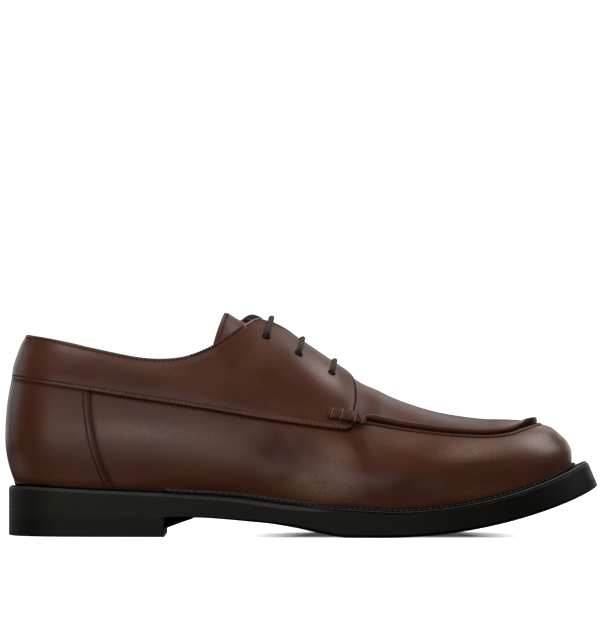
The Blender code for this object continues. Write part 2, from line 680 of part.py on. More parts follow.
def make_tongue(material, parts):
    rows = np.linspace(0, 1, 6)
    halves = {}
    for side in (LATERAL, MEDIAL):
        columns = []
        for share in np.linspace(0, 1, 13):
            end = TONGUE_END_SIDE + (TONGUE_END_MIDDLE - TONGUE_END_SIDE) * (1 - (1 - rows)**2)
            x = TONGUE_FRONT + (end - TONGUE_FRONT) * share
            stations = station_at(x)
            level = level_off_ridge(side, stations, tongue_half_width(x) * (1 - rows))
            columns.append(lifted(side, stations, level, -tongue_depth(x)))
        halves[side] = np.array(columns)
    middle = (halves[LATERAL][:, -1:] + halves[MEDIAL][:, -1:]) / 2
    grid = np.concatenate([halves[LATERAL][:, :-1], middle, halves[MEDIAL][:, :-1][:, ::-1]], axis=1)
    add_sheet("tongue", grid[::-1], TONGUE_LEATHER, False, material, parts)


def make_lace_holes(cutters):
    """Cutters through quarter and wall, three to a side."""
    made = {LATERAL: [], MEDIAL: []}
    for side in made:
        for number, hole in enumerate(LACE_HOLES, 1):
            station = station_at(hole.x)
            level = level_at_height(side, station, hole.height)
            normal = skin_normal(side, station, level)
            centre = skin(side, station, level) + normal * 0.5
            ring = np.linspace(0, 2 * math.pi, HOLE_SIDES, endpoint=False)
            u = np.cross(normal, (0, 1, 0))
            u /= np.linalg.norm(u)
            v = np.cross(normal, u)
            disc = (np.outer(np.cos(ring), u) + np.outer(np.sin(ring), v)) * LACE_HOLE_DIAMETER / 2
            reach = normal * HOLE_REACH
            points = np.concatenate([centre + disc - reach, centre + disc + reach])
            faces = [tuple(range(HOLE_SIDES - 1, -1, -1)), tuple(range(HOLE_SIDES, 2 * HOLE_SIDES))]
            for i in range(HOLE_SIDES):
                j = (i + 1) % HOLE_SIDES
                faces.append((i, j, j + HOLE_SIDES, i + HOLE_SIDES))
            name = f"hole_{'lateral' if side == LATERAL else 'medial'}_{number}"
            made[side].append(add_mesh(name, points, faces, None, cutters))
    return made


def make_lace_bar(number, hole, material, parts):
    """One bar of the lace, over the facings from hole to hole."""
    rest = FIT_GAP + FACING_LIFT + QUARTER_LEATHER + LACE_DIAMETER / 2 + LACE_REST
    path = []
    for side in (LATERAL, MEDIAL):
        start = level_at_height(side, station_at(hole.x), hole.height)
        half = []
        for share in np.linspace(0, 1, 7):
            x = hole.x + hole.lean * math.sin(share * math.pi / 2)
            station = station_at(x)
            level = start + (float(ridge_level(side, station)) - start) * share
            edge = float(level_off_ridge(side, station, throat_gap(x)))
            row = min(1.0, (level - 1) / (edge - 1))
            rise = max(facing_rise[side](x - LACE_DIAMETER / 2), facing_rise[side](x + LACE_DIAMETER / 2))
            stand = rest + rise * row**RISE_POWER
            half.append(lifted(side, station, level, stand - hole.sag * smooth_step(share, (0.66, 1.0))))
        path.append(np.array(half))
    path[0][-1] = (path[0][-1] + path[1][-1]) / 2
    centre = np.concatenate([path[0], path[1][:-1][::-1]])
    name = f"lace_bar_{number}"
    curve = bpy.data.curves.new(name, "CURVE")
    curve.dimensions = "3D"
    curve.bevel_depth = LACE_DIAMETER / 2 * MM
    curve.bevel_resolution = 1
    curve.use_fill_caps = True
    line = curve.splines.new("POLY")
    line.points.add(len(centre) - 1)
    for point, place in zip(line.points, to_metres(centre)):
        point.co = (*place, 1)
    curve.materials.append(material)
    parts.objects.link(bpy.data.objects.new(name, curve))


def main():
    for obj in list(bpy.data.objects):
        bpy.data.objects.remove(obj)
    parts = collection_named("elevator_shoe")
    cutters = collection_named("cutters")
    leather = material_named("brown_leather", (0.075, 0.026, 0.016), 0.38)
    lining = material_named("brown_lining", (0.06, 0.03, 0.02), 0.7)
    rubber = material_named("black_rubber", (0.012, 0.012, 0.011), 0.55)
    cord = material_named("brown_lace", (0.06, 0.042, 0.034), 0.8)
    holes = make_lace_holes(cutters)
    make_outsole(rubber, parts)
    make_heel(rubber, parts, cutters)
    make_welt(rubber, parts)
    make_insole(lining, parts)
    make_upper(leather, parts, holes[LATERAL] + holes[MEDIAL])
    make_quarter("quarter_lateral", LATERAL, leather, parts, holes[LATERAL])
    make_quarter("quarter_medial", MEDIAL, leather, parts, holes[MEDIAL])
    make_counter(leather, parts)
    make_apron(leather, parts)
    make_tongue(leather, parts)
    for number, hole in enumerate(LACE_HOLES, 1):
        make_lace_bar(number, hole, cord, parts)


main()
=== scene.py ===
"""Looks of the lace-up moccasin-toe shoe: its leather, stitching, laces and rubber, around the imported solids.

Tables and functions are in millimetres: x from the end of the sole's heel to the toe, y towards the
inner (medial) side, z up from the floor. `to_metres` moves the origin under the middle of the shoe.
"""

import math
from collections import namedtuple
from functools import partial

import bpy
import numpy as np
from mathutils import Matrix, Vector


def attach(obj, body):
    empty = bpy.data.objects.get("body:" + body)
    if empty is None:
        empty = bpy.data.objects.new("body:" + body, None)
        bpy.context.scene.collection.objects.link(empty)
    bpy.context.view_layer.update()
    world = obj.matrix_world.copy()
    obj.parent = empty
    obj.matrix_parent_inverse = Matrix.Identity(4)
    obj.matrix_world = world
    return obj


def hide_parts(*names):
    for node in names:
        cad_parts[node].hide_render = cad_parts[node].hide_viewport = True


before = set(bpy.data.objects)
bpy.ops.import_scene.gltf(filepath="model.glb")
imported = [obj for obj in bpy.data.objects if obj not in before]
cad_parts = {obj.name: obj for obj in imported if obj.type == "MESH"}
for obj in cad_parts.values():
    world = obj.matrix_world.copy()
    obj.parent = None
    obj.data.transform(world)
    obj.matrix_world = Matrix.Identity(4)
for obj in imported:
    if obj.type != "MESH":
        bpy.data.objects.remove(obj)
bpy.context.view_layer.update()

# Sizes that the solids were made with
UPPER_WALL = 1.8
QUARTER_LEATHER = 1.8
COUNTER_LEATHER = 0.9
TONGUE_LEATHER = 2.2
FIT_GAP = 0.35
SOLE_GAP = 0.3
HEEL_BREAST = 80.3
HEEL_HEIGHT = 9.6
WEDGE_REACH = 14.8
WEDGE_FOOT = 4.1
WEDGE_INSET = 9.0
SOLE_CORNER = 0.8
ROLL_WIDTH = 6.0
ROLL_HEIGHT = 1.0
ROLL_RAMP = (95.0, 150.0)
LACE_HOLE_DIAMETER = 3.9
INSOLE_THICKNESS = 4.0
HIDDEN_LIFT = 26.0
LIFT_RAMP = (62.0, 188.0)
ORIGIN_X = 149.3
MM = 0.001

# Top edge of the sole in plan: distances of its outer and inner side from the shoe's axis
HEEL_TIP = (0.0, 5.0)
TOE_TIP = (296.4, 7.0)
PlanRow = namedtuple("PlanRow", "x lateral medial")
PLAN = [
    PlanRow(6.0, 17.0, 27.0), PlanRow(18.0, 27.5, 37.5), PlanRow(38.0, 32.5, 42.0),
    PlanRow(62.0, 34.0, 42.0), PlanRow(85.0, 35.0, 39.5), PlanRow(108.0, 37.5, 37.8),
    PlanRow(132.0, 42.5, 39.0), PlanRow(156.0, 49.0, 45.0), PlanRow(178.0, 53.8, 51.2),
    PlanRow(198.0, 55.5, 54.8), PlanRow(218.0, 54.3, 55.3), PlanRow(238.0, 50.0, 53.0),
    PlanRow(256.0, 44.5, 48.8), PlanRow(272.0, 35.8, 42.6), PlanRow(286.5, 22.8, 32.8),
    PlanRow(294.2, 9.2, 21.4),
]

# Side profile of the sole behind the toe spring: its top edge and its underside
ProfileRow = namedtuple("ProfileRow", "x edge under")
PROFILE = [
    ProfileRow(0.0, 25.3, 9.9), ProfileRow(45.0, 23.6, 9.9), ProfileRow(80.0, 22.3, 9.9),
    ProfileRow(98.0, 21.3, 9.75), ProfileRow(109.0, 20.7, 9.1), ProfileRow(120.0, 19.7, 8.15),
    ProfileRow(134.0, 17.7, 6.8), ProfileRow(148.0, 15.8, 4.5), ProfileRow(160.0, 14.4, 2.0),
    ProfileRow(173.0, 13.6, 0.0), ProfileRow(198.0, 12.3, 0.0),
]
EDGE_SPRING_START, EDGE_SPRING_RADIUS = 194.0, 222.0
UNDER_SPRING_START, UNDER_SPRING_RADIUS = 190.0, 269.0
TOE_FACE_LEAN = 0.65

# The last: ridge height, fullness of the shoulder, height of the widest line over the sole's edge,
# how far the wall tucks in below that line, how far the sole stands out, and the bevel of its edge
LastRow = namedtuple("LastRow", "x ridge fullness bulge tuck welt bevel")
LAST = [
    LastRow(-4.0, 125.5, -0.015, 25.0, 5.85, 5.2, 1.0), LastRow(38.0, 125.5, 0.00, 24.0, 4.2, 3.4, 1.6),
    LastRow(85.0, 127.0, 0.00, 22.0, 4.5, 3.0, 2.0), LastRow(105.0, 120.8, -0.01, 21.0, 4.5, 3.2, 2.2),
    LastRow(127.0, 111.2, -0.04, 19.5, 4.5, 3.8, 2.4), LastRow(146.0, 100.0, -0.06, 18.0, 4.2, 4.8, 2.2),
    LastRow(166.0, 86.2, -0.07, 17.0, 4.0, 5.6, 0.8), LastRow(178.0, 78.8, -0.07, 16.5, 4.0, 6.0, 0.5),
    LastRow(191.0, 70.9, -0.06, 16.0, 3.8, 6.2, 0.5), LastRow(204.0, 65.5, -0.04, 15.5, 3.5, 6.4, 0.5),
    LastRow(217.0, 61.6, -0.01, 15.0, 3.0, 6.6, 0.5), LastRow(231.0, 59.0, 0.02, 14.0, 2.2, 6.8, 0.5),
    LastRow(245.0, 57.5, 0.04, 13.0, 1.6, 7.2, 0.6), LastRow(265.0, 57.5, 0.075, 9.8, 0.9, 7.6, 0.6),
    LastRow(298.0, 57.5, 0.088, 6.6, 0.4, 9.0, 0.8),
]
HEEL_CENTRE_X, TOE_CENTRE_X = 38.0, 245.0
SPINE_Y = [(38.0, 5.0), (180.0, 5.0), (245.0, 6.0)]

# Lines drawn on the last
QUARTER_SEAM = [(-4.0, 79.9), (18.0, 77.0), (41.0, 73.6), (63.0, 70.1), (80.0, 67.6), (97.0, 65.0),
                (127.0, 59.9), (146.0, 57.0), (160.0, 55.0), (172.0, 53.8)]
COLLAR = [(-4.0, 102.2), (10.0, 100.7), (38.0, 96.2), (60.0, 91.6), (74.0, 89.8), (84.0, 89.9),
          (92.0, 91.2), (99.0, 93.6), (106.0, 97.0), (114.0, 102.2), (121.0, 107.0), (127.0, 109.4)]
INNER_COLLAR = [*COLLAR[:8], (106.0, 98.2), (114.0, 105.4), (121.0, 110.6), (127.0, 111.0)]
APRON_SEAM = [(170.0, 0.72), (182.0, 0.69), (192.0, 0.655), (202.0, 0.645), (215.0, 0.655), (230.0, 0.683),
              (245.0, 0.703), (255.0, 0.705), (262.0, 0.685), (268.0, 0.645), (298.0, 0.585)]
THROAT_GAP = [(120.0, 12.0), (127.0, 9.8), (140.0, 8.2), (160.0, 7.2), (170.0, 6.4)]
COLLAR_TO_THROAT = (121.0, 131.0)
THROAT_CLOSING = (170.0, 175.5)
SEAM_CROSSING = (171.5, 183.5)
BACK_SEAM = 0.0032
FACING_FRONT = 177.7
FACING_CORNER = 13.0
FACING_SLANT = 3.2
SLANT_POWER = 3
FACING_LIFT = 0.8
FACING_LIFT_RAMP = (115.0, 160.0)
LATERAL_RISE = [(121.0, 0.0), (129.0, 0.7), (133.0, 1.7), (138.0, 1.9), (141.0, 1.7), (148.0, 0.9),
                (160.0, 0.8), (172.0, 0.4), (178.0, 0.0)]
MEDIAL_RISE = [(115.0, 0.0), (119.0, 0.6), (124.0, 1.6), (129.0, 2.2), (133.0, 1.9), (138.0, 1.9),
               (141.0, 1.7), (148.0, 0.9), (160.0, 0.8), (172.0, 0.4), (178.0, 0.0)]
RISE_POWER = 4
COUNTER_FRONT_TOP, COUNTER_FRONT_FOOT = 43.1, 54.9
HoleRow = namedtuple("HoleRow", "x height lean sag")
LACE_HOLES = [
    HoleRow(130.8, 99.2, 1.8, 1.4), HoleRow(146.9, 90.4, 1.6, 1.8), HoleRow(163.8, 80.6, 1.0, 1.8),
]
TONGUE_FRONT = 182.0
TONGUE_END_MIDDLE, TONGUE_END_SIDE = 112.0, 105.4
TONGUE_HALF_WIDTH = [(104.0, 29.0), (125.0, 27.5), (150.0, 24.0), (183.0, 20.0)]
TONGUE_DEPTH = [(104.0, 3.7), (113.0, 4.2), (121.0, 5.2), (135.0, 3.9), (150.0, 2.7), (183.0, 2.5)]
WELT_EDGE = 0.8
WELT_LIP = [(70.0, 1.9), (150.0, 2.6), (200.0, 2.7), (240.0, 3.0), (270.0, 3.3), (298.0, 3.9)]
WELT_LIP_WIDTH = 1.0

OUTLINE_SAMPLES = 4000
LATERAL, MEDIAL = -1, 1


def natural_spline(xs, ys):
    """A smooth curve through the points, as a function of x. ys may hold several columns."""
    xs, ys = np.asarray(xs, float), np.asarray(ys, float)
    steps = np.diff(xs)
    slopes = np.diff(ys, axis=0) / (steps if ys.ndim == 1 else steps[:, None])
    system = np.eye(len(xs))
    right = np.zeros_like(ys)
    for i in range(1, len(xs) - 1):
        system[i, i - 1:i + 2] = steps[i - 1], 2 * (steps[i - 1] + steps[i]), steps[i]
        right[i] = 6 * (slopes[i] - slopes[i - 1])
    bend = np.linalg.solve(system, right)

    def at(x):
        x = np.clip(x, xs[0], xs[-1])
        i = np.clip(np.searchsorted(xs, x) - 1, 0, len(steps) - 1)
        h, a, b = steps[i], x - xs[i], xs[i + 1] - x
        if ys.ndim > 1:
            h, a, b = h[..., None], a[..., None], b[..., None]
        return ((bend[i] * b**3 + bend[i + 1] * a**3) / (6 * h)
                + (ys[i] / h - bend[i] * h / 6) * b + (ys[i + 1] / h - bend[i + 1] * h / 6) * a)

    return at


def steady_curve(xs, ys):
    """A curve through the points that never overshoots them, as a function of x."""
    xs, ys = np.asarray(xs, float), np.asarray(ys, float)
    steps, rises = np.diff(xs), np.diff(ys) / np.diff(xs)
    tangent = np.zeros_like(ys)
    for i in range(1, len(xs) - 1):
        if rises[i - 1] * rises[i] > 0:
            before, after = 2 * steps[i] + steps[i - 1], steps[i] + 2 * steps[i - 1]
            tangent[i] = (before + after) / (before / rises[i - 1] + after / rises[i])

    def at(x):
        x = np.clip(x, xs[0], xs[-1])
        i = np.clip(np.searchsorted(xs, x) - 1, 0, len(steps) - 1)
        t = (x - xs[i]) / steps[i]
        return ((1 + 2 * t) * (1 - t)**2 * ys[i] + t * (1 - t)**2 * steps[i] * tangent[i]
                + t**2 * (3 - 2 * t) * ys[i + 1] + t**2 * (t - 1) * steps[i] * tangent[i + 1])

    return at


def smooth_step(x, span):
    t = np.clip((np.asarray(x, float) - span[0]) / (np.asarray(span[1]) - span[0]), 0, 1)
    return t * t * (3 - 2 * t)


def hump(value, middle, width):
    """1 at a middle value, and softly down to nil beside it."""
    return np.exp(-((value - middle) / width)**2)


def unit(vectors):
    return vectors / np.maximum(np.linalg.norm(vectors, axis=-1), 1e-9)[..., None]


def arc_length(path, axis=0):
    """Length along lines of points from their first points. Axis is the one that the lines run along."""
    length = np.cumsum(np.linalg.norm(np.diff(path, axis=axis), axis=-1), axis=axis)
    return np.concatenate([np.zeros_like(length.take([0], axis=axis)), length], axis=axis)


def sampled(t, along, values):
    """Columns of values at places t, from those at places along."""
    return np.stack([np.interp(t, along, column) for column in values.T], axis=-1)


def column(rows, name):
    return natural_spline([r.x for r in rows], [getattr(r, name) for r in rows])


last = {name: column(LAST, name) for name in LastRow._fields[1:]}
rear_edge = steady_curve([r.x for r in PROFILE], [r.edge for r in PROFILE])
rear_under = steady_curve([r.x for r in PROFILE], [r.under for r in PROFILE])
spine_y = steady_curve(*zip(*SPINE_Y))
quarter_seam = natural_spline(*zip(*QUARTER_SEAM))
apron_seam = natural_spline(*zip(*APRON_SEAM))
throat_gap = steady_curve(*zip(*THROAT_GAP))
tongue_half_width = steady_curve(*zip(*TONGUE_HALF_WIDTH))
tongue_depth = steady_curve(*zip(*TONGUE_DEPTH))
welt_lip = steady_curve(*zip(*WELT_LIP))
collar = {LATERAL: natural_spline(*zip(*COLLAR)), MEDIAL: natural_spline(*zip(*INNER_COLLAR))}
facing_rise = {LATERAL: steady_curve(*zip(*LATERAL_RISE)), MEDIAL: steady_curve(*zip(*MEDIAL_RISE))}


def spring(x, start, radius):
    reach = np.clip(np.asarray(x, float) - start, 0, radius)
    return radius - np.sqrt(radius**2 - reach**2)


def edge_height(x):
    return rear_edge(x) + spring(x, EDGE_SPRING_START, EDGE_SPRING_RADIUS)


def underside(x):
    return rear_under(x) + spring(x, UNDER_SPRING_START, UNDER_SPRING_RADIUS)


def station_of(points, side):
    """0 to 1 round the heel, 1 to 2 along the shoe, 2 to 3 round the toe, for samples from heel to toe."""
    x, y = points[:, 0], points[:, 1]
    heel = np.arctan2(side * (y - spine_y(HEEL_CENTRE_X)), HEEL_CENTRE_X - x)
    toe = np.arctan2(x - TOE_CENTRE_X, side * (y - spine_y(TOE_CENTRE_X)))
    round_heel = (heel - heel[0]) / (math.pi / 2 - heel[0])
    body = 1 + (x - HEEL_CENTRE_X) / (TOE_CENTRE_X - HEEL_CENTRE_X)
    round_toe = 2 + toe / toe[-1]
    return np.where(x < HEEL_CENTRE_X, round_heel, np.where(x > TOE_CENTRE_X, round_toe, body))


def sole_outlines():
    """Dense samples of the sole's edge, the upper's foot and its widest line, by side and station."""
    loop = [HEEL_TIP, *[(r.x, -r.lateral) for r in PLAN], TOE_TIP]
    loop += [(r.x, r.medial) for r in reversed(PLAN)]
    points = np.array(loop * 3 + [HEEL_TIP])
    along = arc_length(points)
    around = natural_spline(along, points)
    count = len(loop)
    toe = count + len(PLAN) + 1
    spans = {LATERAL: (along[count], along[toe]), MEDIAL: (along[2 * count], along[toe])}
    made = {}
    for side, (start, end) in spans.items():
        t = np.linspace(start, end, OUTLINE_SAMPLES)
        edge = around(t)
        ahead = unit(np.gradient(edge, t, axis=0) * np.sign(end - start))
        outward = np.stack([ahead[:, 1], -ahead[:, 0]], axis=1) * -side
        foot = edge - outward * last["welt"](edge[:, 0])[:, None]
        widest = foot + outward * last["tuck"](edge[:, 0])[:, None]
        made[side] = {"station": station_of(widest, side), "edge": edge, "foot": foot, "widest": widest,
                      "outward": outward}
    return made


OUTLINES = sole_outlines()


def plan_point(side, station, line):
    """The point in plan of one of the outlines at a station."""
    samples = OUTLINES[side]
    return sampled(station, samples["station"], samples[line])


def station_at(x):
    """The station of a section across the shoe at x."""
    return 1 + (np.asarray(x, float) - HEEL_CENTRE_X) / (TOE_CENTRE_X - HEEL_CENTRE_X)


def section_shape(angle, fullness):
    """Share of half width and of height at an angle from the widest line to the ridge."""
    swell = 1 + fullness * np.sin(2 * angle)**2
    return np.cos(angle) * swell, np.sin(angle) * swell


def angle_at(share, fullness, which):
    """The angle at which a section reaches a share of its half width (0) or its height (1)."""
    share, fullness = np.broadcast_arrays(share, fullness)
    low, high = np.zeros(share.shape), np.full(share.shape, math.pi / 2)
    for _ in range(32):
        middle = (low + high) / 2
        reached = section_shape(middle, fullness)[which]
        past = reached > share if which else reached < share
        low, high = np.where(past, low, middle), np.where(past, middle, high)
    return (low + high) / 2


def section(side, station):
    """What a section through the last is made of at a station on one side."""
    widest = plan_point(side, station, "widest")
    foot = plan_point(side, station, "foot")
    x = widest[..., 0]
    centre_x = np.clip(x, HEEL_CENTRE_X, TOE_CENTRE_X)
    centre = np.stack([centre_x, spine_y(centre_x)], axis=-1)
    half_width = np.linalg.norm(widest - centre, axis=-1)
    foot_height = edge_height(foot[..., 0]) + SOLE_GAP
    widest_height = foot_height + last["bulge"](x)
    rise = last["ridge"](centre_x) - widest_height
    fullness = last["fullness"](x)
    by_quarter = angle_at((quarter_seam(x) - widest_height) / rise, fullness, 1)
    by_apron = angle_at(apron_seam(x), fullness, 0)
    seam = by_quarter + (by_apron - by_quarter) * smooth_step(x, SEAM_CROSSING)
    by_collar = angle_at(np.clip((collar[side](x) - widest_height) / rise, 0, 1), fullness, 1)
    gap = throat_gap(x) * (1 - smooth_step(x, THROAT_CLOSING))
    by_throat = angle_at(gap / half_width, fullness, 0)
    top = by_collar + (by_throat - by_collar) * smooth_step(x, COLLAR_TO_THROAT)
    return dict(widest=widest, foot=foot, centre=centre, foot_height=foot_height, fullness=fullness,
                widest_height=widest_height, rise=rise, seam=seam, top=top, half_width=half_width)


def skin(side, station, level):
    """Outer face of the upper's wall. Level -1 is its foot, 0 its widest line, 1 the seam, 2 its top."""
    station, level = np.asarray(station, float), np.asarray(level, float)
    s = section(side, station)
    below = np.clip(-level, 0, 1)
    angle = np.where(level < 1, np.clip(level, 0, 1) * s["seam"],
                     s["seam"] + (level - 1) * (s["top"] - s["seam"]))
    width, height = section_shape(np.minimum(angle, math.pi / 2), s["fullness"])
    plan = s["centre"] + (s["widest"] - s["centre"]) * width[..., None]
    plan = plan + (s["foot"] - s["widest"]) * (below**2)[..., None]
    z = s["widest_height"] + s["rise"] * height - (s["widest_height"] - s["foot_height"]) * below
    return np.concatenate([plan, z[..., None]], axis=-1)


def level_at_angle(side, station, angle):
    """The level above the seam that stands at an angle of the section."""
    s = section(side, np.asarray(station, float))
    return 1 + (angle - s["seam"]) / (s["top"] - s["seam"])


def ridge_level(side, station):
    """The level of the ridge: 2, or more where the throat cuts the wall short of it."""
    return level_at_angle(side, station, math.pi / 2)


def level_off_ridge(side, station, distance):
    """The level that lies a distance in plan from the ridge."""
    s = section(side, np.asarray(station, float))
    return level_at_angle(side, station, angle_at(distance / s["half_width"], s["fullness"], 0))


def skin_normal(side, station, level):
    """Outward direction of the wall, taken just off the ridge where the sections meet."""
    d = 0.004
    level = np.clip(level, -1 + d, ridge_level(side, station) - 8 * d)
    station = np.clip(station, d, 3 - d)
    across = skin(side, station + d, level) - skin(side, station - d, level)
    up = skin(side, station, level + d) - skin(side, station, level - d)
    return unit(np.cross(across, up) * -side)


def lifted(side, station, level, lift):
    """A point at a distance off the wall's outer face."""
    return skin(side, station, level) + skin_normal(side, station, level) * np.asarray(lift, float)[..., None]


def level_at_height(side, station, z):
    """The level between foot and top edge at which the wall reaches a height."""
    levels = np.linspace(-1, 2, 600)
    return float(np.interp(z, skin(side, station, levels)[:, 2], levels))


def to_metres(points):
    return (np.asarray(points, float) - (ORIGIN_X, 0, 0)) * MM


# Soft troughs and swellings of the worn-in leather, by side, from one end to the other, over the wall
Fold = namedtuple("Fold", "side x0 z0 x1 z1 half_width depth")
FOLDS = [
    Fold(LATERAL, 127.0, 51.0, 136.0, 40.0, 6.0, -0.7),
    Fold(LATERAL, 140.0, 51.0, 150.5, 34.0, 4.5, -0.6),
    Fold(LATERAL, 134.0, 51.0, 143.0, 38.0, 3.5, 0.25),
    Fold(LATERAL, 160.0, 33.0, 172.0, 25.0, 11.0, 0.7),
    Fold(LATERAL, 175.5, 51.5, 189.0, 33.0, 6.0, -0.8),
    Fold(LATERAL, 207.0, 33.0, 240.0, 29.0, 6.0, -0.35),
    Fold(LATERAL, 146.0, 87.0, 171.0, 67.0, 5.0, 0.6), Fold(LATERAL, 138.0, 74.0, 160.0, 64.0, 6.0, -0.7),
    Fold(LATERAL, 270.0, 57.0, 276.0, 55.0, 4.5, 1.2), Fold(LATERAL, 283.5, 51.0, 286.0, 48.0, 4.0, -0.5),
    Fold(MEDIAL, 270.0, 57.0, 276.0, 55.0, 4.5, 1.2), Fold(MEDIAL, 283.5, 51.0, 286.0, 48.0, 4.0, -0.5),
    Fold(MEDIAL, 132.0, 50.0, 143.0, 38.0, 6.0, -0.7),
    Fold(MEDIAL, 150.0, 48.0, 160.0, 32.0, 5.0, -0.5),
    Fold(MEDIAL, 178.0, 50.0, 192.0, 33.0, 6.0, -0.7),
]


def folds(side, points):
    """How far the folds move the wall outward at points on it."""
    moved = np.zeros(points.shape[:-1])
    for fold in FOLDS:
        if fold.side == side:
            start, end = np.array((fold.x0, fold.z0)), np.array((fold.x1, fold.z1))
            place = points[..., [0, 2]] - start
            share = np.clip(place @ (end - start) / np.sum((end - start)**2), 0, 1)
            off = np.linalg.norm(place - share[..., None] * (end - start), axis=-1)
            moved += fold.depth * hump(off, 0, fold.half_width)
    return moved


# Painted highlights (negative amount) and painted shade (positive amount) on the leather: middle, half sizes,
# slant in degrees
Patch = namedtuple("Patch", "x z length height slant amount")
PATCHES = [
    Patch(63.0, 53.5, 30.0, 5.5, -3.0, -0.17), Patch(95.0, 50.0, 30.0, 8.0, -6.0, -0.06),
    Patch(40.0, 29.0, 50.0, 6.0, 0.0, -0.08), Patch(38.0, 91.0, 8.0, 4.0, -8.0, -0.07),
    Patch(74.0, 84.5, 18.0, 4.0, -6.0, -0.12), Patch(60.0, 76.0, 36.0, 5.0, -8.0, 0.15),
    Patch(134.0, 44.5, 7.5, 8.0, -35.0, 0.5), Patch(147.0, 42.0, 5.0, 9.0, -30.0, 0.25),
    Patch(168.5, 40.0, 9.0, 8.5, 0.0, -0.26), Patch(162.0, 24.0, 18.0, 6.0, -5.0, -0.42),
    Patch(179.0, 46.5, 3.0, 9.0, 30.0, 0.22), Patch(185.0, 51.0, 7.0, 5.0, 0.0, -0.10),
    Patch(200.0, 48.5, 14.0, 5.0, 0.0, -0.12), Patch(12.0, 58.0, 4.5, 18.0, 0.0, 0.27),
    Patch(13.6, 88.0, 5.0, 12.0, 0.0, 0.20), Patch(0.5, 75.0, 4.5, 34.0, 0.0, 0.32),
    Patch(293.5, 40.0, 4.5, 15.0, 0.0, 0.28),
    Patch(201.0, 27.0, 14.0, 5.5, 8.0, 0.50), Patch(226.0, 33.0, 18.0, 4.0, 10.0, 0.25),
    Patch(237.0, 43.5, 18.0, 5.0, 6.0, -0.42), Patch(270.5, 47.5, 11.0, 5.5, -20.0, -0.42),
    Patch(215.0, 20.5, 40.0, 3.0, 8.0, -0.06), Patch(105.0, 24.0, 20.0, 3.5, -4.0, 0.50),
    Patch(131.0, 95.0, 7.0, 10.0, -30.0, -0.09), Patch(160.5, 79.5, 14.0, 4.5, -38.0, -0.32),
    Patch(171.5, 79.0, 4.5, 9.0, 0.0, 0.20), Patch(144.0, 68.0, 16.0, 6.0, -25.0, 0.20),
    Patch(200.0, 36.0, 12.0, 5.0, 0.0, 0.12), Patch(113.0, 69.0, 14.0, 6.0, -8.0, 0.14),
    Patch(112.0, 97.0, 8.0, 5.0, 30.0, 0.2), Patch(5.5, 36.0, 7.0, 7.0, 0.0, -0.35),
]


def painted_light_and_shade(points):
    """How much painted shade (positive) or painted highlight (negative) the patches put on the leather at
    points on it.
    """
    x, z = points[..., 0], points[..., 2]
    shade = np.zeros(points.shape[:-1])
    for patch in PATCHES:
        c, s = math.cos(math.radians(patch.slant)), math.sin(math.radians(patch.slant))
        along = (x - patch.x) * c + (z - patch.z) * s
        across = (z - patch.z) * c - (x - patch.x) * s
        shade += patch.amount * np.exp(-(along / patch.length)**2 - (across / patch.height)**2)
    return shade


# Meshes

def new_piece(name, points, faces, materials, face_slots=None, tone=None, replaced=(), slot=None):
    """An object of the shoe, from points in millimetres. Tone paints shade into its material, and painted
    highlights where it is below nil, point by point.
    """
    mesh = bpy.data.meshes.new(name)
    mesh.from_pydata(to_metres(points).tolist(), [], [list(f) for f in faces])
    mesh.shade_smooth()
    for material in materials:
        mesh.materials.append(material)
    if face_slots is not None:
        mesh.polygons.foreach_set("material_index", np.asarray(face_slots, np.int32))
    values = mesh.attributes.new("tone", "FLOAT", "POINT")
    tones = np.broadcast_to(0.0 if tone is None else tone, len(points))
    values.data.foreach_set("value", tones.astype(np.float32))
    obj = bpy.data.objects.new(name, mesh)
    bpy.context.scene.collection.objects.link(obj)
    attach(obj, "root")
    if replaced:
        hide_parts(*replaced)
    return obj


def merge_points(points, faces):
    """The points with doubles merged, the faces on them, and which of the old points were kept."""
    _, kept, place = np.unique(np.round(points / 0.002).astype(np.int64), axis=0, return_index=True,
                               return_inverse=True)
    place = place.ravel()
    clean = []
    for face in faces:
        corners = [place[i] for i in face]
        corners = [c for k, c in enumerate(corners) if c != corners[k - 1]]
        if len(corners) > 2:
            clean.append(corners)
    return points[kept], clean, kept


def ring_faces(columns, ring, closed=False, caps=(True, True)):
    """Quads of rings of points set side by side, with caps on the ends of an open row of rings."""
    i = np.arange(columns if closed else columns - 1)[:, None]
    j = np.arange(ring)[None, :]
    ahead, up = (i + 1) % columns, (j + 1) % ring
    quads = np.stack([i * ring + j, ahead * ring + j, ahead * ring + up, i * ring + up], axis=-1)
    faces = quads.reshape(-1, 4).tolist()
    if caps[0] and not closed:
        faces.append(list(range(ring - 1, -1, -1)))
    if caps[1] and not closed:
        faces.append(list(range((columns - 1) * ring, columns * ring)))
    return faces


def faces_out(points, faces):
    """The faces turned so that they look outward, told by the volume that they close."""
    corners = np.array([f for f in faces if len(f) == 4])
    a, b, c, d = (points[corners[:, k]] for k in range(4))
    volume = np.sum(np.cross(a, b) * c) + np.sum(np.cross(a, c) * d)
    return faces if volume > 0 else [f[::-1] for f in faces]


def ring_piece(name, grid, materials, slots=None, closed=False, tone=None, **more):
    """A closed body from rings of points side by side. Slots gives the material of each strip of a ring."""
    columns, ring = grid.shape[:2]
    points = grid.reshape(-1, 3)
    faces = faces_out(points, ring_faces(columns, ring, closed))
    face_slots = None
    if slots is not None:
        rows = columns if closed else columns - 1
        face_slots = np.concatenate([np.tile(slots, rows), np.zeros(len(faces) - rows * ring, int)])
    return new_piece(name, points, faces, materials, face_slots,
                     None if tone is None else np.asarray(tone).ravel(), **more)


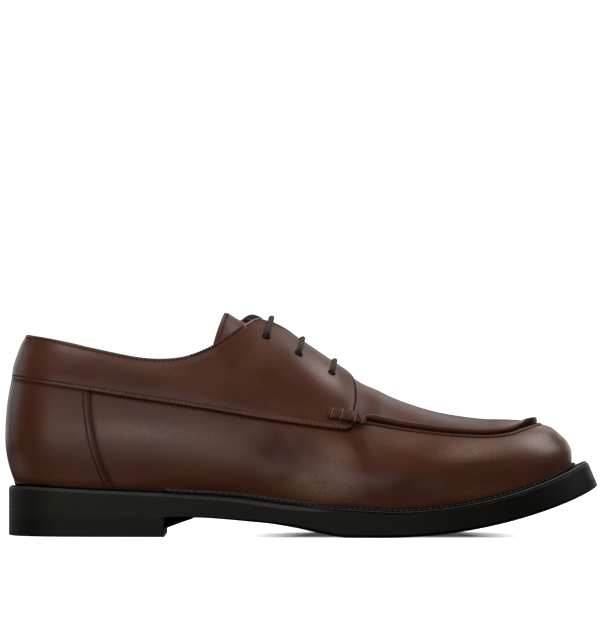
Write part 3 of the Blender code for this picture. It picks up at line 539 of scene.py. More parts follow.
def levels_by_length(side, stations, low, high, shares, offsets):
    """Levels up each column at a share of its length plus an offset in millimetres, from low to high."""
    t = np.linspace(0, 1, 48)
    low, high = np.broadcast_to(low, stations.shape), np.broadcast_to(high, stations.shape)
    levels = low[:, None] + (high - low)[:, None] * t
    length = arc_length(skin(side, stations[:, None], levels), 1)
    want = np.asarray(shares) * length[:, -1:] + offsets
    return np.array([np.interp(w, l, v) for w, l, v in zip(want, length, levels)])


def grid_normals(grid, side):
    """Outward directions of an open grid of points, columns from heel to toe and rows upward."""
    return unit(np.cross(np.gradient(grid, axis=0), np.gradient(grid, axis=1)) * -side)


def resample(path, extra, pitch):
    """Points along a path at an even pitch, with values that go with them."""
    along = arc_length(path)
    count = max(2, int(round(along[-1] / pitch)) + 1)
    t = np.linspace(0, along[-1], count)
    return sampled(t, along, path), sampled(t, along, extra)


def capsule(sides=6, rings=4):
    """A unit capsule along x, as points and faces."""
    points = [(-1, 0, 0)]
    for k in range(1, rings):
        x = -math.cos(k * math.pi / rings)
        r = math.sqrt(1 - x * x)**0.6
        points += [(x, r * math.cos(a), r * math.sin(a)) for a in np.arange(sides) * 2 * math.pi / sides]
    points.append((1, 0, 0))
    end = len(points) - 1
    faces = []
    for i in range(sides):
        n = (i + 1) % sides
        faces.append((0, 1 + n, 1 + i))
        for k in range(rings - 2):
            a, b = 1 + k * sides, 1 + (k + 1) * sides
            faces.append((a + i, a + n, b + n, b + i))
        faces.append((end, end - sides + i, end - sides + n))
    return np.array(points, float), faces


Thread = namedtuple("Thread", "pitch length width height sink skew")


def stitches(path, normals, thread):
    """Points and faces of a row of stitches along a path, each a thread whose ends dip into the leather."""
    places, ups = resample(path, normals, thread.pitch)
    along = unit(np.gradient(places, axis=0))
    places, ups = (places[1:] + places[:-1]) / 2, unit(ups[1:] + ups[:-1])
    along = unit(along[1:] + along[:-1])
    aside = unit(np.cross(ups, along))
    along = unit(along + aside * thread.skew)
    aside = unit(np.cross(ups, along))
    base, base_faces = capsule()
    x, y, z = base[:, 0], base[:, 1], base[:, 2]
    rise = z * thread.height / 2 - thread.sink * x**2
    points = (places[:, None] + along[:, None] * (x * thread.length / 2)[:, None]
              + aside[:, None] * (y * thread.width / 2)[:, None] + ups[:, None] * rise[:, None])
    count = len(base)
    faces = [tuple(i + k * count for i in f) for k in range(len(places)) for f in base_faces]
    return points.reshape(-1, 3), faces


def stitch_piece(name, rows, material, slot="leather"):
    """One piece from several rows of stitches, each a path, its normals and its thread."""
    points, faces, start = [], [], 0
    for path, normals, thread in rows:
        p, f = stitches(path, normals, thread)
        faces += [tuple(i + start for i in face) for face in f]
        points.append(p)
        start += len(p)
    return new_piece(name, np.concatenate(points), faces, [material], slot=slot)


def tube_rings(path, radius, sides, up):
    """Rings of directions round a path: points and the unit vectors from its middle."""
    along = unit(np.gradient(path, axis=0))
    first = unit(np.cross(along, up))
    second = np.cross(first, along)
    around = np.arange(sides) * 2 * math.pi / sides
    out = first[:, None] * np.cos(around)[:, None] + second[:, None] * np.sin(around)[:, None]
    return path[:, None] + out * np.broadcast_to(radius, (len(path), sides))[..., None]


def cut_holes(obj, cutters):
    """Cuts the cutters out of a piece and removes them."""
    for cutter in cutters:
        modifier = obj.modifiers.new("hole", "BOOLEAN")
        modifier.operation = "DIFFERENCE"
        modifier.solver = "EXACT"
        modifier.object = cutter
    evaluated = obj.evaluated_get(bpy.context.evaluated_depsgraph_get())
    cut = bpy.data.meshes.new_from_object(evaluated)
    obj.modifiers.clear()
    obj.data = cut
    for cutter in cutters:
        bpy.data.objects.remove(cutter)


HOLE_SIDES = 28


def hole_cutters(side, reach):
    """Round cutters through one side's lace holes."""
    made = []
    for hole in LACE_HOLES:
        station = station_at(hole.x)
        level = level_at_height(side, station, hole.height)
        normal = skin_normal(side, station, level)
        centre = skin(side, station, level)
        path = centre + np.outer(np.linspace(*reach, 2), normal)
        rings = tube_rings(path, LACE_HOLE_DIAMETER / 2, HOLE_SIDES, np.array((0.0, 0.3, 1.0)))
        mesh = bpy.data.meshes.new("cutter")
        faces = faces_out(rings.reshape(-1, 3), ring_faces(2, HOLE_SIDES))
        mesh.from_pydata(to_metres(rings.reshape(-1, 3)).tolist(), [], faces)
        cutter = bpy.data.objects.new("cutter", mesh)
        bpy.context.scene.collection.objects.link(cutter)
        made.append(cutter)
    bpy.context.view_layer.update()
    return made


# Materials

class Shader:
    """A material under construction: a Principled BSDF and the nodes that feed it."""

    def __init__(self, name, **sockets):
        self.material = bpy.data.materials.new(name)
        self.material.use_nodes = True
        self.tree = self.material.node_tree
        self.surface = self.tree.nodes["Principled BSDF"]
        for socket, value in sockets.items():
            self.surface.inputs[socket.replace("_", " ")].default_value = value
        self.place = self.node("ShaderNodeTexCoord").outputs["Object"]

    def node(self, kind, links=None, **values):
        made = self.tree.nodes.new(kind)
        for name, value in values.items():
            if hasattr(made, name):
                setattr(made, name, value)
            else:
                made.inputs[name.replace("_", " ")].default_value = value
        for name, source in (links or {}).items():
            self.tree.links.new(source, made.inputs[name])
        return made

    def noise(self, scale, detail=2.0, rough=0.5, stretch=None, distortion=0.0):
        place = self.place
        if stretch:
            place = self.node("ShaderNodeMapping", {"Vector": place}, Scale=stretch).outputs[0]
        return self.node("ShaderNodeTexNoise", {"Vector": place}, Scale=scale, Detail=detail, Roughness=rough,
                         Distortion=distortion).outputs["Fac"]

    def cells(self, scale, feature="SMOOTH_F1", smoothness=0.6):
        made = self.node("ShaderNodeTexVoronoi", {"Vector": self.place}, feature=feature, Scale=scale)
        if feature == "SMOOTH_F1":
            made.inputs["Smoothness"].default_value = smoothness
        return made.outputs["Distance"]

    def spread(self, value, low, high, to_low, to_high):
        return self.node("ShaderNodeMapRange", {"Value": value}, From_Min=low, From_Max=high, To_Min=to_low,
                         To_Max=to_high).outputs[0]

    def math(self, operation, a, b):
        made = self.node("ShaderNodeMath", operation=operation)
        for socket, value in zip(made.inputs, (a, b)):
            if isinstance(value, (int, float)):
                socket.default_value = value
            else:
                self.tree.links.new(value, socket)
        return made.outputs[0]

    def mix(self, share, a, b):
        made = self.node("ShaderNodeMix", {"Factor": share}, data_type="RGBA")
        for socket, value in ((made.inputs[6], a), (made.inputs[7], b)):
            if isinstance(value, tuple):
                socket.default_value = (*value, 1)
            else:
                self.tree.links.new(value, socket)
        return made.outputs[2]

    def tone(self):
        return self.node("ShaderNodeAttribute", attribute_name="tone").outputs["Fac"]

    def bumps(self, *heights):
        """Chains bumps of (height, strength, distance in millimetres) into the surface's normal."""
        normal = None
        for height, strength, distance in heights:
            made = self.node("ShaderNodeBump", {"Height": height}, Strength=strength, Distance=distance * MM)
            if normal:
                self.tree.links.new(normal, made.inputs["Normal"])
            normal = made.outputs[0]
        self.tree.links.new(normal, self.surface.inputs["Normal"])

    def feed(self, **sources):
        for socket, source in sources.items():
            self.tree.links.new(source, self.surface.inputs[socket.replace("_", " ")])


def leather(name, light, dark, pale, roughness):
    """Smooth calf leather: a fine pebbled grain, clouded colour, a painted highlight toward the pale colour and
    painted shade toward near black where tone says so.
    """
    made = Shader(name, Coat_Roughness=0.36, Specular_IOR_Level=0.06)
    clouds = made.noise(34.0, 3.0, 0.6)
    pores = made.cells(1050.0)
    fine = made.noise(1500.0, 3.0, 0.6)
    tone = made.tone()
    colour = made.mix(made.spread(clouds, 0.3, 0.7, 0.0, 1.0), dark, light)
    colour = made.mix(made.spread(pores, 0.1, 0.75, 0.0, 0.22), colour, tuple(c * 0.45 for c in dark))
    grain = made.math("ADD", made.spread(pores, 0.1, 0.65, 0.75, 0.3), made.spread(fine, 0.3, 0.7, 0.0, 0.9))
    # tone below nil: painted highlight, the pale colour speckled by the grain; tone above nil: painted shade
    painted_highlight = made.math("MULTIPLY", made.spread(tone, -1.0, 0.0, 1.0, 0.0), grain)
    colour = made.mix(painted_highlight, colour, pale)
    colour = made.mix(made.spread(tone, 0.0, 1.0, 0.0, 1.0), colour, tuple(c * 0.25 for c in dark))
    rough = made.spread(made.noise(90.0, 4.0, 0.6), 0.3, 0.7, roughness - 0.06, roughness + 0.06)
    shine = made.math("ADD", made.spread(tone, 0.0, 0.6, 0.38, 0.0), made.spread(tone, -0.3, 0.0, 0.42, 0.0))
    made.feed(Base_Color=colour, Roughness=made.math("ADD", rough, made.spread(fine, 0.3, 0.7, -0.03, 0.05)),
              Coat_Weight=shine)
    made.bumps((made.noise(220.0, 3.0, 0.5), 0.10, 0.5), (pores, 0.35, 0.2), (fine, 0.3, 0.12))
    return made.material


def rubber(name, light, dark, pale, roughness, striations):
    """Black moulded rubber, with faint streaks along its side."""
    made = Shader(name, Specular_IOR_Level=0.12)
    clouds = made.noise(60.0, 4.0, 0.65)
    streaks = made.noise(1.0, 3.0, 0.6, stretch=(25.0, 25.0, 1400.0))
    tone = made.tone()
    colour = made.mix(made.spread(clouds, 0.3, 0.7, 0.0, 1.0), dark, light)
    # tone below nil: painted highlight toward the pale colour; tone above nil: painted shade
    colour = made.mix(made.spread(tone, -1.0, 0.0, 1.0, 0.0), colour, pale)
    colour = made.mix(made.spread(tone, 0.0, 1.0, 0.0, 1.0), colour, tuple(c * 0.3 for c in dark))
    rough = made.spread(streaks, 0.3, 0.7, roughness - 0.08, roughness + 0.1)
    made.feed(Base_Color=colour, Roughness=rough)
    made.bumps((streaks, striations, 0.15), (made.noise(1800.0, 3.0, 0.6), 0.15, 0.1))
    return made.material


def thread(name, light, dark):
    """Waxed thread, twisted."""
    made = Shader(name, Roughness=0.6, Specular_IOR_Level=0.1)
    strands = made.noise(1400.0, 2.0, 0.5)
    colour = made.mix(made.spread(strands, 0.35, 0.65, 0.0, 1.0), dark, light)
    made.feed(Base_Color=colour)
    made.bumps((strands, 0.3, 0.1))
    return made.material


def lining(name, light, dark):
    """Smooth lining leather, matt, with fine pores."""
    made = Shader(name, Specular_IOR_Level=0.3)
    pores = made.cells(1100.0)
    clouds = made.noise(45.0, 4.0, 0.6)
    colour = made.mix(made.spread(clouds, 0.3, 0.7, 0.0, 1.0), dark, light)
    # tone: painted shade
    colour = made.mix(made.tone(), colour, tuple(c * 0.4 for c in dark))
    made.feed(Base_Color=colour, Roughness=made.spread(made.noise(300.0), 0.3, 0.7, 0.55, 0.72))
    made.bumps((pores, 0.25, 0.15), (made.noise(1500.0), 0.2, 0.08))
    return made.material


def lace_cord(name, light, dark):
    """Braided round lace: its strands are in the mesh, its fibres here."""
    made = Shader(name, Sheen_Weight=0.02, Sheen_Roughness=0.5, Specular_IOR_Level=0.15)
    fibres = made.noise(1.0, 2.0, 0.6, stretch=(1800.0, 900.0, 1800.0))
    colour = made.mix(made.spread(fibres, 0.35, 0.65, 0.0, 1.0), dark, light)
    # tone: painted shade in the braid's hollows and where the lace goes into the holes
    colour = made.mix(made.tone(), colour, tuple(c * 0.35 for c in dark))
    made.feed(Base_Color=colour, Roughness=made.spread(fibres, 0.3, 0.7, 0.6, 0.8))
    made.bumps((fibres, 0.35, 0.12))
    return made.material


# The third colour of the leather and of each rubber is the colour of its painted highlights
LEATHER = leather("calf_leather", (0.121, 0.0385, 0.0185), (0.083, 0.0248, 0.0118), (0.40, 0.245, 0.168),
                  roughness=0.40)
LINING = lining("lining_leather", (0.050, 0.024, 0.016), (0.032, 0.015, 0.010))
RUBBER = rubber("sole_rubber", (0.0098, 0.0086, 0.0066), (0.006, 0.0052, 0.004), (0.05, 0.05, 0.044),
                roughness=0.5, striations=0.2)
WELT_RUBBER = rubber("welt_rubber", (0.0105, 0.0095, 0.008), (0.006, 0.0055, 0.0045), (0.26, 0.258, 0.245),
                     roughness=0.5, striations=0.1)
THREAD = thread("brown_thread", (0.30, 0.17, 0.115), (0.17, 0.085, 0.055))
DARK_THREAD = thread("dark_thread", (0.048, 0.016, 0.009), (0.022, 0.008, 0.005))
WELT_CORD = thread("welt_thread", (0.055, 0.053, 0.048), (0.02, 0.019, 0.017))
LACE = lace_cord("braided_lace", (0.125, 0.084, 0.06), (0.045, 0.029, 0.02))


# The wall of the upper

SEAM_START = (179.0, 182.5)
LIP_HEIGHT = 0.75
SEAM_STITCH = -2.65    # distances of the lip's stitches and its top from the seam
LIP_TOP = -1.45
GATHER_PITCH = 2.6
SEAM_ROWS = np.array([-6.0, -4.6, -3.8, -3.3, -2.95, -2.65, -2.35, -2.05, -1.75, -1.45, -1.15, -0.85, -0.55,
                      -0.25, 0.15, 0.5, 1.0])


def stations_through(stops, steps):
    """Stations from the first stop to the last, with a number of even steps between each two."""
    runs = [np.linspace(a, b, n, endpoint=False) for a, b, n in zip(stops, stops[1:], steps)]
    return np.concatenate([*runs, stops[-1:]])


def seam_share(x):
    """How far the apron's seam is in force at x: none on the quarters, whole ahead of them."""
    return smooth_step(x, SEAM_START)


def vamp_lip(side, stations, offset):
    """Lift of the gathered lip along the apron's seam, at distances across the seam (negative below it)."""
    seam = skin(side, stations, np.ones_like(stations))
    along = arc_length(seam)[:, None]
    wave = np.cos(2 * math.pi * along / GATHER_PITCH)
    gather = 0.78 + 0.22 * wave
    pucker = hump(offset, SEAM_STITCH, 0.5) * 0.2 * (1 - wave)
    lip = LIP_HEIGHT * hump(offset, LIP_TOP, 0.72) * gather - pucker
    groove = -0.75 * hump(offset, 0.05, 0.55)
    return (lip + groove) * seam_share(seam[:, 0])[:, None]


def counter_front(levels):
    """Station of the heel counter's front edge, by level."""
    reach = (COUNTER_FRONT_FOOT - COUNTER_FRONT_TOP) * ((1 - levels) / 2)**2
    return station_at(COUNTER_FRONT_TOP + reach)


def wall_grid(side, stations, lift_inside):
    """Rings through the wall: up its outer face from the foot, and down its lining."""
    foot_rows = np.linspace(-1, 0, 15)[:-1]
    shares = np.concatenate([np.linspace(0, 1, 26)[:-1], np.ones(len(SEAM_ROWS))])
    offsets = np.concatenate([np.linspace(0, 1, 26)[:-1] * SEAM_ROWS[0], SEAM_ROWS.clip(max=0)])
    below = levels_by_length(side, stations, 0.0, 1.0, shares, offsets)
    above = levels_by_length(side, stations, 1.0, 2.0, [0, 0, 0, 0.2, 0.4, 0.6, 0.8, 0.9, 0.96, 1],
                             [0.15, 0.5, 1.0, 0.8, 0.6, 0.4, 0.2, 0.1, 0, 0])
    below = below[:, :len(shares) - 3]
    foot = np.broadcast_to(foot_rows, (len(stations), len(foot_rows)))
    levels = np.concatenate([foot, below, above], axis=1)
    column = stations[:, None]
    outer = skin(side, column, levels)
    offset = np.full(levels.shape, -40.0)
    first = len(foot_rows) + 25
    offset[:, first:first + len(SEAM_ROWS)] = SEAM_ROWS
    offset[:, first + len(SEAM_ROWS):] = 40.0
    lift = folds(side, outer) * smooth_step(levels, (-1.0, -0.6)) + vamp_lip(side, stations, offset)
    points = outer + skin_normal(side, column, levels) * lift[..., None]
    inner_levels = np.concatenate([above[:, [-1, -2, -3, -5, -7]], below[:, ::-4],
                                   np.broadcast_to(np.linspace(-0.1, -1, 6), (len(stations), 6))], axis=1)
    top = smooth_step(inner_levels, (1.9, 2.0))
    depth = lift_inside + (-lift_inside - 0.7) * top
    inside = lifted(side, column, inner_levels, depth)
    x = outer[..., 0]
    above_foot = (levels + 1) * last["bulge"](x)
    # Painted shade: dark at the wall's foot over the welt, and in the seam's groove and at its stitches, with a
    # faint painted highlight on the lip's top. There is painted shadow under the quarter's lower edge and along
    # the counter's front edge, and the patches add painted light and shade.
    dark = 0.9 * hump(above_foot, 0, 1.7)
    seam = (0.8 * hump(offset, SEAM_STITCH, 0.45) + 1.0 * hump(offset, 0.1, 0.75)
            - 0.06 * hump(offset, -1.5, 0.4))
    shadow_under_quarter = hump(offset, -0.1, 1.0) * 0.85 * (1 - smooth_step(x, (173.0, 178.0)))
    ahead = (column - counter_front(levels)) * (TOE_CENTRE_X - HEEL_CENTRE_X)
    shadow_by_counter = 0.6 * hump(ahead, 0.3, 0.8) * (levels < 1)
    shade = dark + seam * seam_share(x) + shadow_under_quarter + shadow_by_counter
    tone = np.clip(shade + painted_light_and_shade(outer) * (shade < 0.3), -1, 1)
    tone = np.concatenate([tone, np.zeros(inner_levels.shape)], axis=1)
    slots = np.concatenate([np.zeros(levels.shape[1], int), np.ones(inner_levels.shape[1], int)])
    return np.concatenate([points, inside], axis=1), tone, slots


def make_upper():
    stations = stations_through((0, 1, 2, 3), (44, 190, 70))
    grids = [wall_grid(LATERAL, stations, -UPPER_WALL), wall_grid(MEDIAL, stations[::-1][1:-1], -UPPER_WALL)]
    grid = np.concatenate([g[0] for g in grids])
    tone = np.concatenate([g[1] for g in grids])
    upper = ring_piece("upper_wall", grid, [LEATHER, LINING], grids[0][2], closed=True, tone=tone,
                       replaced=("upper",), slot="leather")
    cut_holes(upper, hole_cutters(LATERAL, (-6, 6)) + hole_cutters(MEDIAL, (-6, 6)))


# Quarters

EDGE_ROUND = 0.8
CORNER_COLUMNS = 44
STITCH_DEPTH = 0.3
STITCH_SPREAD = 0.32
STITCH_RAISE = 0.04
LOW_STITCH, HIGH_STITCH, FRONT_STITCH = 1.8, 1.5, 1.4
EDGE_ROWS = np.array([0.0, 0.03, 0.1, 0.22, 0.4, 0.62, 0.85, 1.1, 1.35, 1.6, 1.9, 2.2, 2.7, 3.3, 4.2])


def rounded(distance, radius):
    """Share of a sheet's thickness at a distance from its rounded edge."""
    return np.sqrt(np.clip(1 - (1 - np.clip(distance / radius, 0, 1))**2, 0, 1))


def stitch_dent(distance, row):
    return hump(distance, row, STITCH_SPREAD)


def strip(distance, low, high):
    """1 between two distances from an edge, running out softly beside them."""
    past = smooth_step(distance, (high - 0.1, high + 0.2))
    return smooth_step(distance, (low - 0.15, low + 0.1)) * (1 - past)


def edge_distance(grid, line):
    """Distance of the points of a grid from a line of points."""
    t = np.linspace(0, len(line) - 1, 6 * len(line))
    dense = sampled(t, np.arange(len(line)), line)
    return np.array([np.linalg.norm(row[:, None] - dense, axis=-1).min(axis=1) for row in grid])


def quarter_columns():
    """Columns along a quarter: x of each at its lower edge, and how far it is into the front corner."""
    start = FACING_FRONT - FACING_CORNER
    heel = np.linspace(BACK_SEAM, 1, 40, endpoint=False)
    body = np.linspace(1, station_at(start), 165, endpoint=False)
    turn = np.sin(np.radians(np.linspace(0, 80, CORNER_COLUMNS)))
    return np.concatenate([heel, body]), turn, start


def quarter_grid(side):
    """The quarter's ring of points: outer face from its lower edge, over the top edge, and the inner face."""
    body, turn, start = quarter_columns()
    count = len(body) + len(turn)
    into = np.concatenate([np.zeros(len(body)), turn])
    straight = np.concatenate([body, station_at(start + FACING_CORNER * turn)])
    x = plan_point(side, straight, "widest")[:, 0]
    facing = level_off_ridge(side, straight, throat_gap(x))
    top = 1 + (np.where(x < COLLAR_TO_THROAT[1], 2.0, facing) - 1) * (1 - into**4)**0.25
    middle = np.linspace(0, 1, 22)[1:-1]
    far = EDGE_ROWS[-1]
    shares = np.concatenate([np.zeros(len(EDGE_ROWS)), middle, np.ones(len(EDGE_ROWS))])
    offsets = np.concatenate([EDGE_ROWS, far - 2 * far * middle, -EDGE_ROWS[::-1]])
    levels = levels_by_length(side, straight, 1.0, top, shares, offsets)
    row = (levels - 1) / (top - 1)[:, None]
    slant = FACING_SLANT * (1 - row)**SLANT_POWER * into[:, None] / (TOE_CENTRE_X - HEEL_CENTRE_X)
    stations = straight[:, None] - slant
    base = skin(side, stations, levels)
    low = arc_length(base, 1)
    high = low[:, -1:] - low
    front = arc_length(base[::-1])[::-1]
    px = base[..., 0]
    stand = FIT_GAP + FACING_LIFT * smooth_step(px, FACING_LIFT_RAMP) * (0.25 + 0.75 * row)
    corner = facing_rise[side](px) * np.clip(row, 0, 1)**RISE_POWER
    swell = 0.72 + 0.28 * smooth_step(low, (0.5, 7.0))
    swell = np.minimum(swell, 0.72 + 0.28 * smooth_step(front, (0.5, 5.0)))
    swell = np.minimum(swell, 0.76 + 0.24 * smooth_step(high, (0.3, 6.5)))
    thick = (stand + QUARTER_LEATHER) * swell
    edge = np.minimum(rounded(low, EDGE_ROUND), rounded(front, EDGE_ROUND))
    over = rounded(high + 0.25, EDGE_ROUND + 0.25)
    collar_part = 1 - smooth_step(px, (130.0, 133.0))
    dent_low = stitch_dent(low, LOW_STITCH) * (low < front) * (low < high)
    rim = edge_distance(base, np.concatenate([base[:, -1], base[-1, ::-1]]))
    dent_high = stitch_dent(rim, HIGH_STITCH) * (rim < low) * collar_part
    dent_front = hump(rim, FRONT_STITCH, 0.5) * (rim <= low) * (1 - collar_part)
    dent = STITCH_DEPTH * np.maximum(dent_low, np.maximum(dent_high, dent_front))
    lift = thick * edge * over - dent * edge - 0.12 * (1 - edge) + folds(side, base) * 0.6 + corner
    outer = base + skin_normal(side, stations, levels) * lift[..., None]
    inner_rows = [-1, -2, -4, -7, -9, -14, -20, -28, 9, 4, 0]
    inner_lift = np.array([-0.35, -0.75, -1.1, -1.35, -1.2, -0.4, 0.05, 0.05, 0.05, 0.0, -0.15])
    closing = smooth_step(px[:, inner_rows], (164.0, 171.0))
    depth = inner_lift * (1 - closing) + np.minimum(0.05, inner_lift + 0.4) * closing
    inner = lifted(side, stations[:, inner_rows], levels[:, inner_rows], depth + corner[:, inner_rows])
    # Painted shade in the stitch grooves, on the rounded lower edge and along the throat's edge. Painted
    # highlight strips run along the lower, front and collar edges, the patches add painted light and shade, and
    # the lining gets painted shade.
    groove = np.maximum(np.maximum(0.12 * dent_low, 0.2 * dent_high), 0.95 * dent_front)
    shade = np.maximum(groove, 0.7 * (1 - rounded(low, 0.35)))
    throat = (1 - collar_part) * (1 - smooth_step(px, (168.0, 172.0)))
    shade = np.maximum(shade, 0.85 * (1 - smooth_step(rim, (2.3, 3.0))) * throat)
    tip = smooth_step(px, (170.0, 173.0))
    painted_highlight = 0.1 * strip(low, 0.2, 1.2) + 0.25 * strip(rim, -0.5, 0.6) * (rim < low) * tip
    painted_highlight = painted_highlight + 0.45 * strip(rim, -0.5, 1.2) * collar_part * smooth_step(px, (117.0, 123.0))
    tone = np.clip(shade - painted_highlight * (shade < 0.5) + painted_light_and_shade(base) * (shade < 0.3), -1, 0.8)
    tone = np.concatenate([tone, np.full((count, inner_lift.size), 0.6)], axis=1)
    slots = np.concatenate([np.zeros(levels.shape[1] - 1, int), np.ones(len(inner_rows) + 1, int)])
    return np.concatenate([outer, inner], axis=1), tone, slots, (low, rim)


def row_at(values, grid, want, axis):
    """The line across a grid where a distance first reaches a value, told from the end where it is nil."""
    if axis == 0:
        values, grid = values.T, grid.swapaxes(0, 1)
    line = []
    for value, points in zip(values, grid):
        if value[0] > value[-1]:
            value, points = value[::-1], points[::-1]
        k = int(np.argmax(value >= want)) or len(value) - 1
        share = np.clip((want - value[k - 1]) / max(value[k] - value[k - 1], 1e-9), 0, 1)
        line.append(points[k - 1] + (points[k] - points[k - 1]) * share)
    return np.array(line)


LEATHER_THREAD = Thread(pitch=2.05, length=1.6, width=0.6, height=0.6, sink=0.2, skew=0.12)
COLLAR_THREAD = Thread(pitch=2.3, length=1.3, width=0.8, height=0.7, sink=0.15, skew=0.3)
WHIP_THREAD = Thread(pitch=1.7, length=3.2, width=0.75, height=1.1, sink=0.12, skew=4.0)
DOT_THREAD = Thread(pitch=1.9, length=1.1, width=1.0, height=0.9, sink=0.08, skew=0.2)
FRONT_THREAD = Thread(pitch=1.1, length=1.1, width=0.6, height=0.6, sink=0.2, skew=1.2)
WHIP_STITCH, DOT_STITCH = 1.35, 1.9
# The lower row is one thread: its stitches up to DARK_HEEL are drawn in the dark thread as painted shade
DARK_HEEL = 34.0                  # up to where the lower row is in dark thread
FRONT_FOOT = 64.0                 # height of the front stitches' lower end
WHIPPED = (93.0, 120.5, 131.5)    # where the collar's whip stitches start and end, and where its dots end


def make_quarter(name, side):
    grid, tone, slots, (low, rim) = quarter_grid(side)
    node = "quarter_lateral" if side == LATERAL else "quarter_medial"
    quarter = ring_piece(name, grid, [LEATHER, LINING], slots, tone=tone, replaced=(node,), slot="leather")
    cut_holes(quarter, hole_cutters(side, (-6, 8)))
    outer = grid[:, :low.shape[1]]
    normals = grid_normals(outer, side)
    whip, dots, throat = (int(np.argmax(outer[:, -1, 0] > x)) for x in WHIPPED)
    corner = int(np.argmax((rim.max(axis=1) < FRONT_STITCH + 0.6) & (outer[:, -1, 0] > 150)))
    heel = int(np.argmax(outer[:, 0, 0] > DARK_HEEL))
    rows = ((low, LOW_STITCH, slice(1, heel), LEATHER_THREAD, DARK_THREAD),
            (low, LOW_STITCH, slice(heel, -6), LEATHER_THREAD, THREAD),
            (rim, HIGH_STITCH, slice(1, whip), COLLAR_THREAD, DARK_THREAD),
            (rim, WHIP_STITCH, slice(whip, dots), WHIP_THREAD, DARK_THREAD),
            (rim, DOT_STITCH, slice(dots, throat), DOT_THREAD, DARK_THREAD),
            (rim, FRONT_STITCH, slice(throat, corner), FRONT_THREAD, DARK_THREAD))
    lines = {THREAD: [], DARK_THREAD: []}
    for values, place, keep, kind, material in rows:
        path = row_at(values, outer, place, 1)[keep]
        up = unit(row_at(values, normals, place, 1)[keep])
        lines[material].append((path + up * STITCH_RAISE, up, kind))
    turn = slice(-CORNER_COLUMNS, None)
    path, up = (row_at(rim[turn], values[turn], FRONT_STITCH, 0) for values in (outer, normals))
    shown = (path[:, 2] > FRONT_FOOT) & (path[:, 2] < row_at(rim, outer, FRONT_STITCH, 1)[corner - 1, 2])
    shown &= rim[turn].max(axis=0) > FRONT_STITCH + 0.5
    lines[DARK_THREAD].append((path[shown] + unit(up[shown]) * STITCH_RAISE, unit(up[shown]), FRONT_THREAD))
    for material, threads in lines.items():
        stitch_piece(f"{name}_{material.name}", threads, material)


# Counter

COUNTER_STITCHES = (1.1, 3.5)


def make_counter():
    """The heel panel over the wall, under the quarters."""
    levels = np.concatenate([np.linspace(-0.985, 0, 16)[:-1], np.linspace(0, 1.03, 34)])
    rise = np.concatenate([np.linspace(0, 1, 60)[:-8], 1 - EDGE_ROWS[::-1] / 70])
    grids, tones, lines = [], [], []
    for side in (LATERAL, MEDIAL):
        stations = rise[:, None] * counter_front(levels)
        base = skin(side, stations, levels[None])
        distance = arc_length(base[::-1])[::-1]
        dent = sum(stitch_dent(distance, row) for row in COUNTER_STITCHES)
        thick = (FIT_GAP + COUNTER_LEATHER) * (0.8 + 0.2 * smooth_step(distance, (1, 8)))
        edge = rounded(distance, 0.7)
        lift = thick * edge - STITCH_DEPTH * dent * edge - 0.1 * (1 - edge)
        outer = lifted(side, stations, levels[None], lift)
        inner = lifted(side, stations[:, ::-8], levels[None, ::-8], -0.2)
        # Painted shade in the stitch dents, on the rounded front edge and along the foot, and a painted shadow
        # under the quarter's lower edge; the patches add painted light and shade
        tone = np.maximum(0.7 * dent, 0.8 * (1 - rounded(distance, 0.8)))
        tone = np.maximum(tone, 0.6 * hump(levels[None], -1, 0.1))
        tone = np.maximum(tone, 0.85 * hump(quarter_seam(base[..., 0]), base[..., 2], 1.0))
        tone = np.clip(tone + painted_light_and_shade(base) * (tone < 0.3), -1, 0.85)
        normals = grid_normals(outer, side)
        for row in COUNTER_STITCHES:
            path, up = row_at(distance, outer, row, 0), unit(row_at(distance, normals, row, 0))
            lines.append(((path + up * STITCH_RAISE)[:-2], up[:-2], LEATHER_THREAD))
        order = slice(None, None, -1) if side == LATERAL else slice(1, None)
        grids.append(np.concatenate([outer, inner], axis=1)[order])
        tones.append(np.concatenate([tone, np.zeros(inner.shape[:2])], axis=1)[order])
    ring_piece("heel_counter", np.concatenate(grids), [LEATHER], tone=np.concatenate(tones),
               replaced=("counter",), slot="leather")
    stitch_piece("counter_stitches", lines, DARK_THREAD)


# Apron

APRON_ROWS = np.array([0.12, 0.16, 0.24, 0.36, 0.52, 0.72, 0.92, 1.1, 1.3, 1.5, 1.7, 1.85, 2.05, 2.25, 2.45,
                       2.65, 2.85, 3.05, 3.25, 3.6, 4.5])
APRON_EDGE = [(0.0, -0.5), (0.12, -0.3), (0.2, 0.5), (0.36, 1.15), (0.6, 1.65), (1.05, 1.95), (1.4, 1.75),
              (1.75, 1.48), (2.1, 1.68), (2.4, 1.75), (2.7, 1.55), (3.0, 1.38), (3.3, 1.52), (3.6, 1.62),
              (4.5, 1.65)]
APRON_GROOVES = (1.75, 3.0)     # distances of its two sewn lines from the seam
APRON_SLIDE = (179.5, 182.0)    # where the apron runs out from under the quarters
APRON_FLAT = 8.0                # how much later its middle reaches its full height
APRON_UNDER = 171.0
TOE_ROLL = 2.3                  # how much higher the seam's roll stands at the toe's tip
TOE_ROLL_RAMP = (257.0, 268.0)
apron_edge = steady_curve(*zip(*APRON_EDGE))


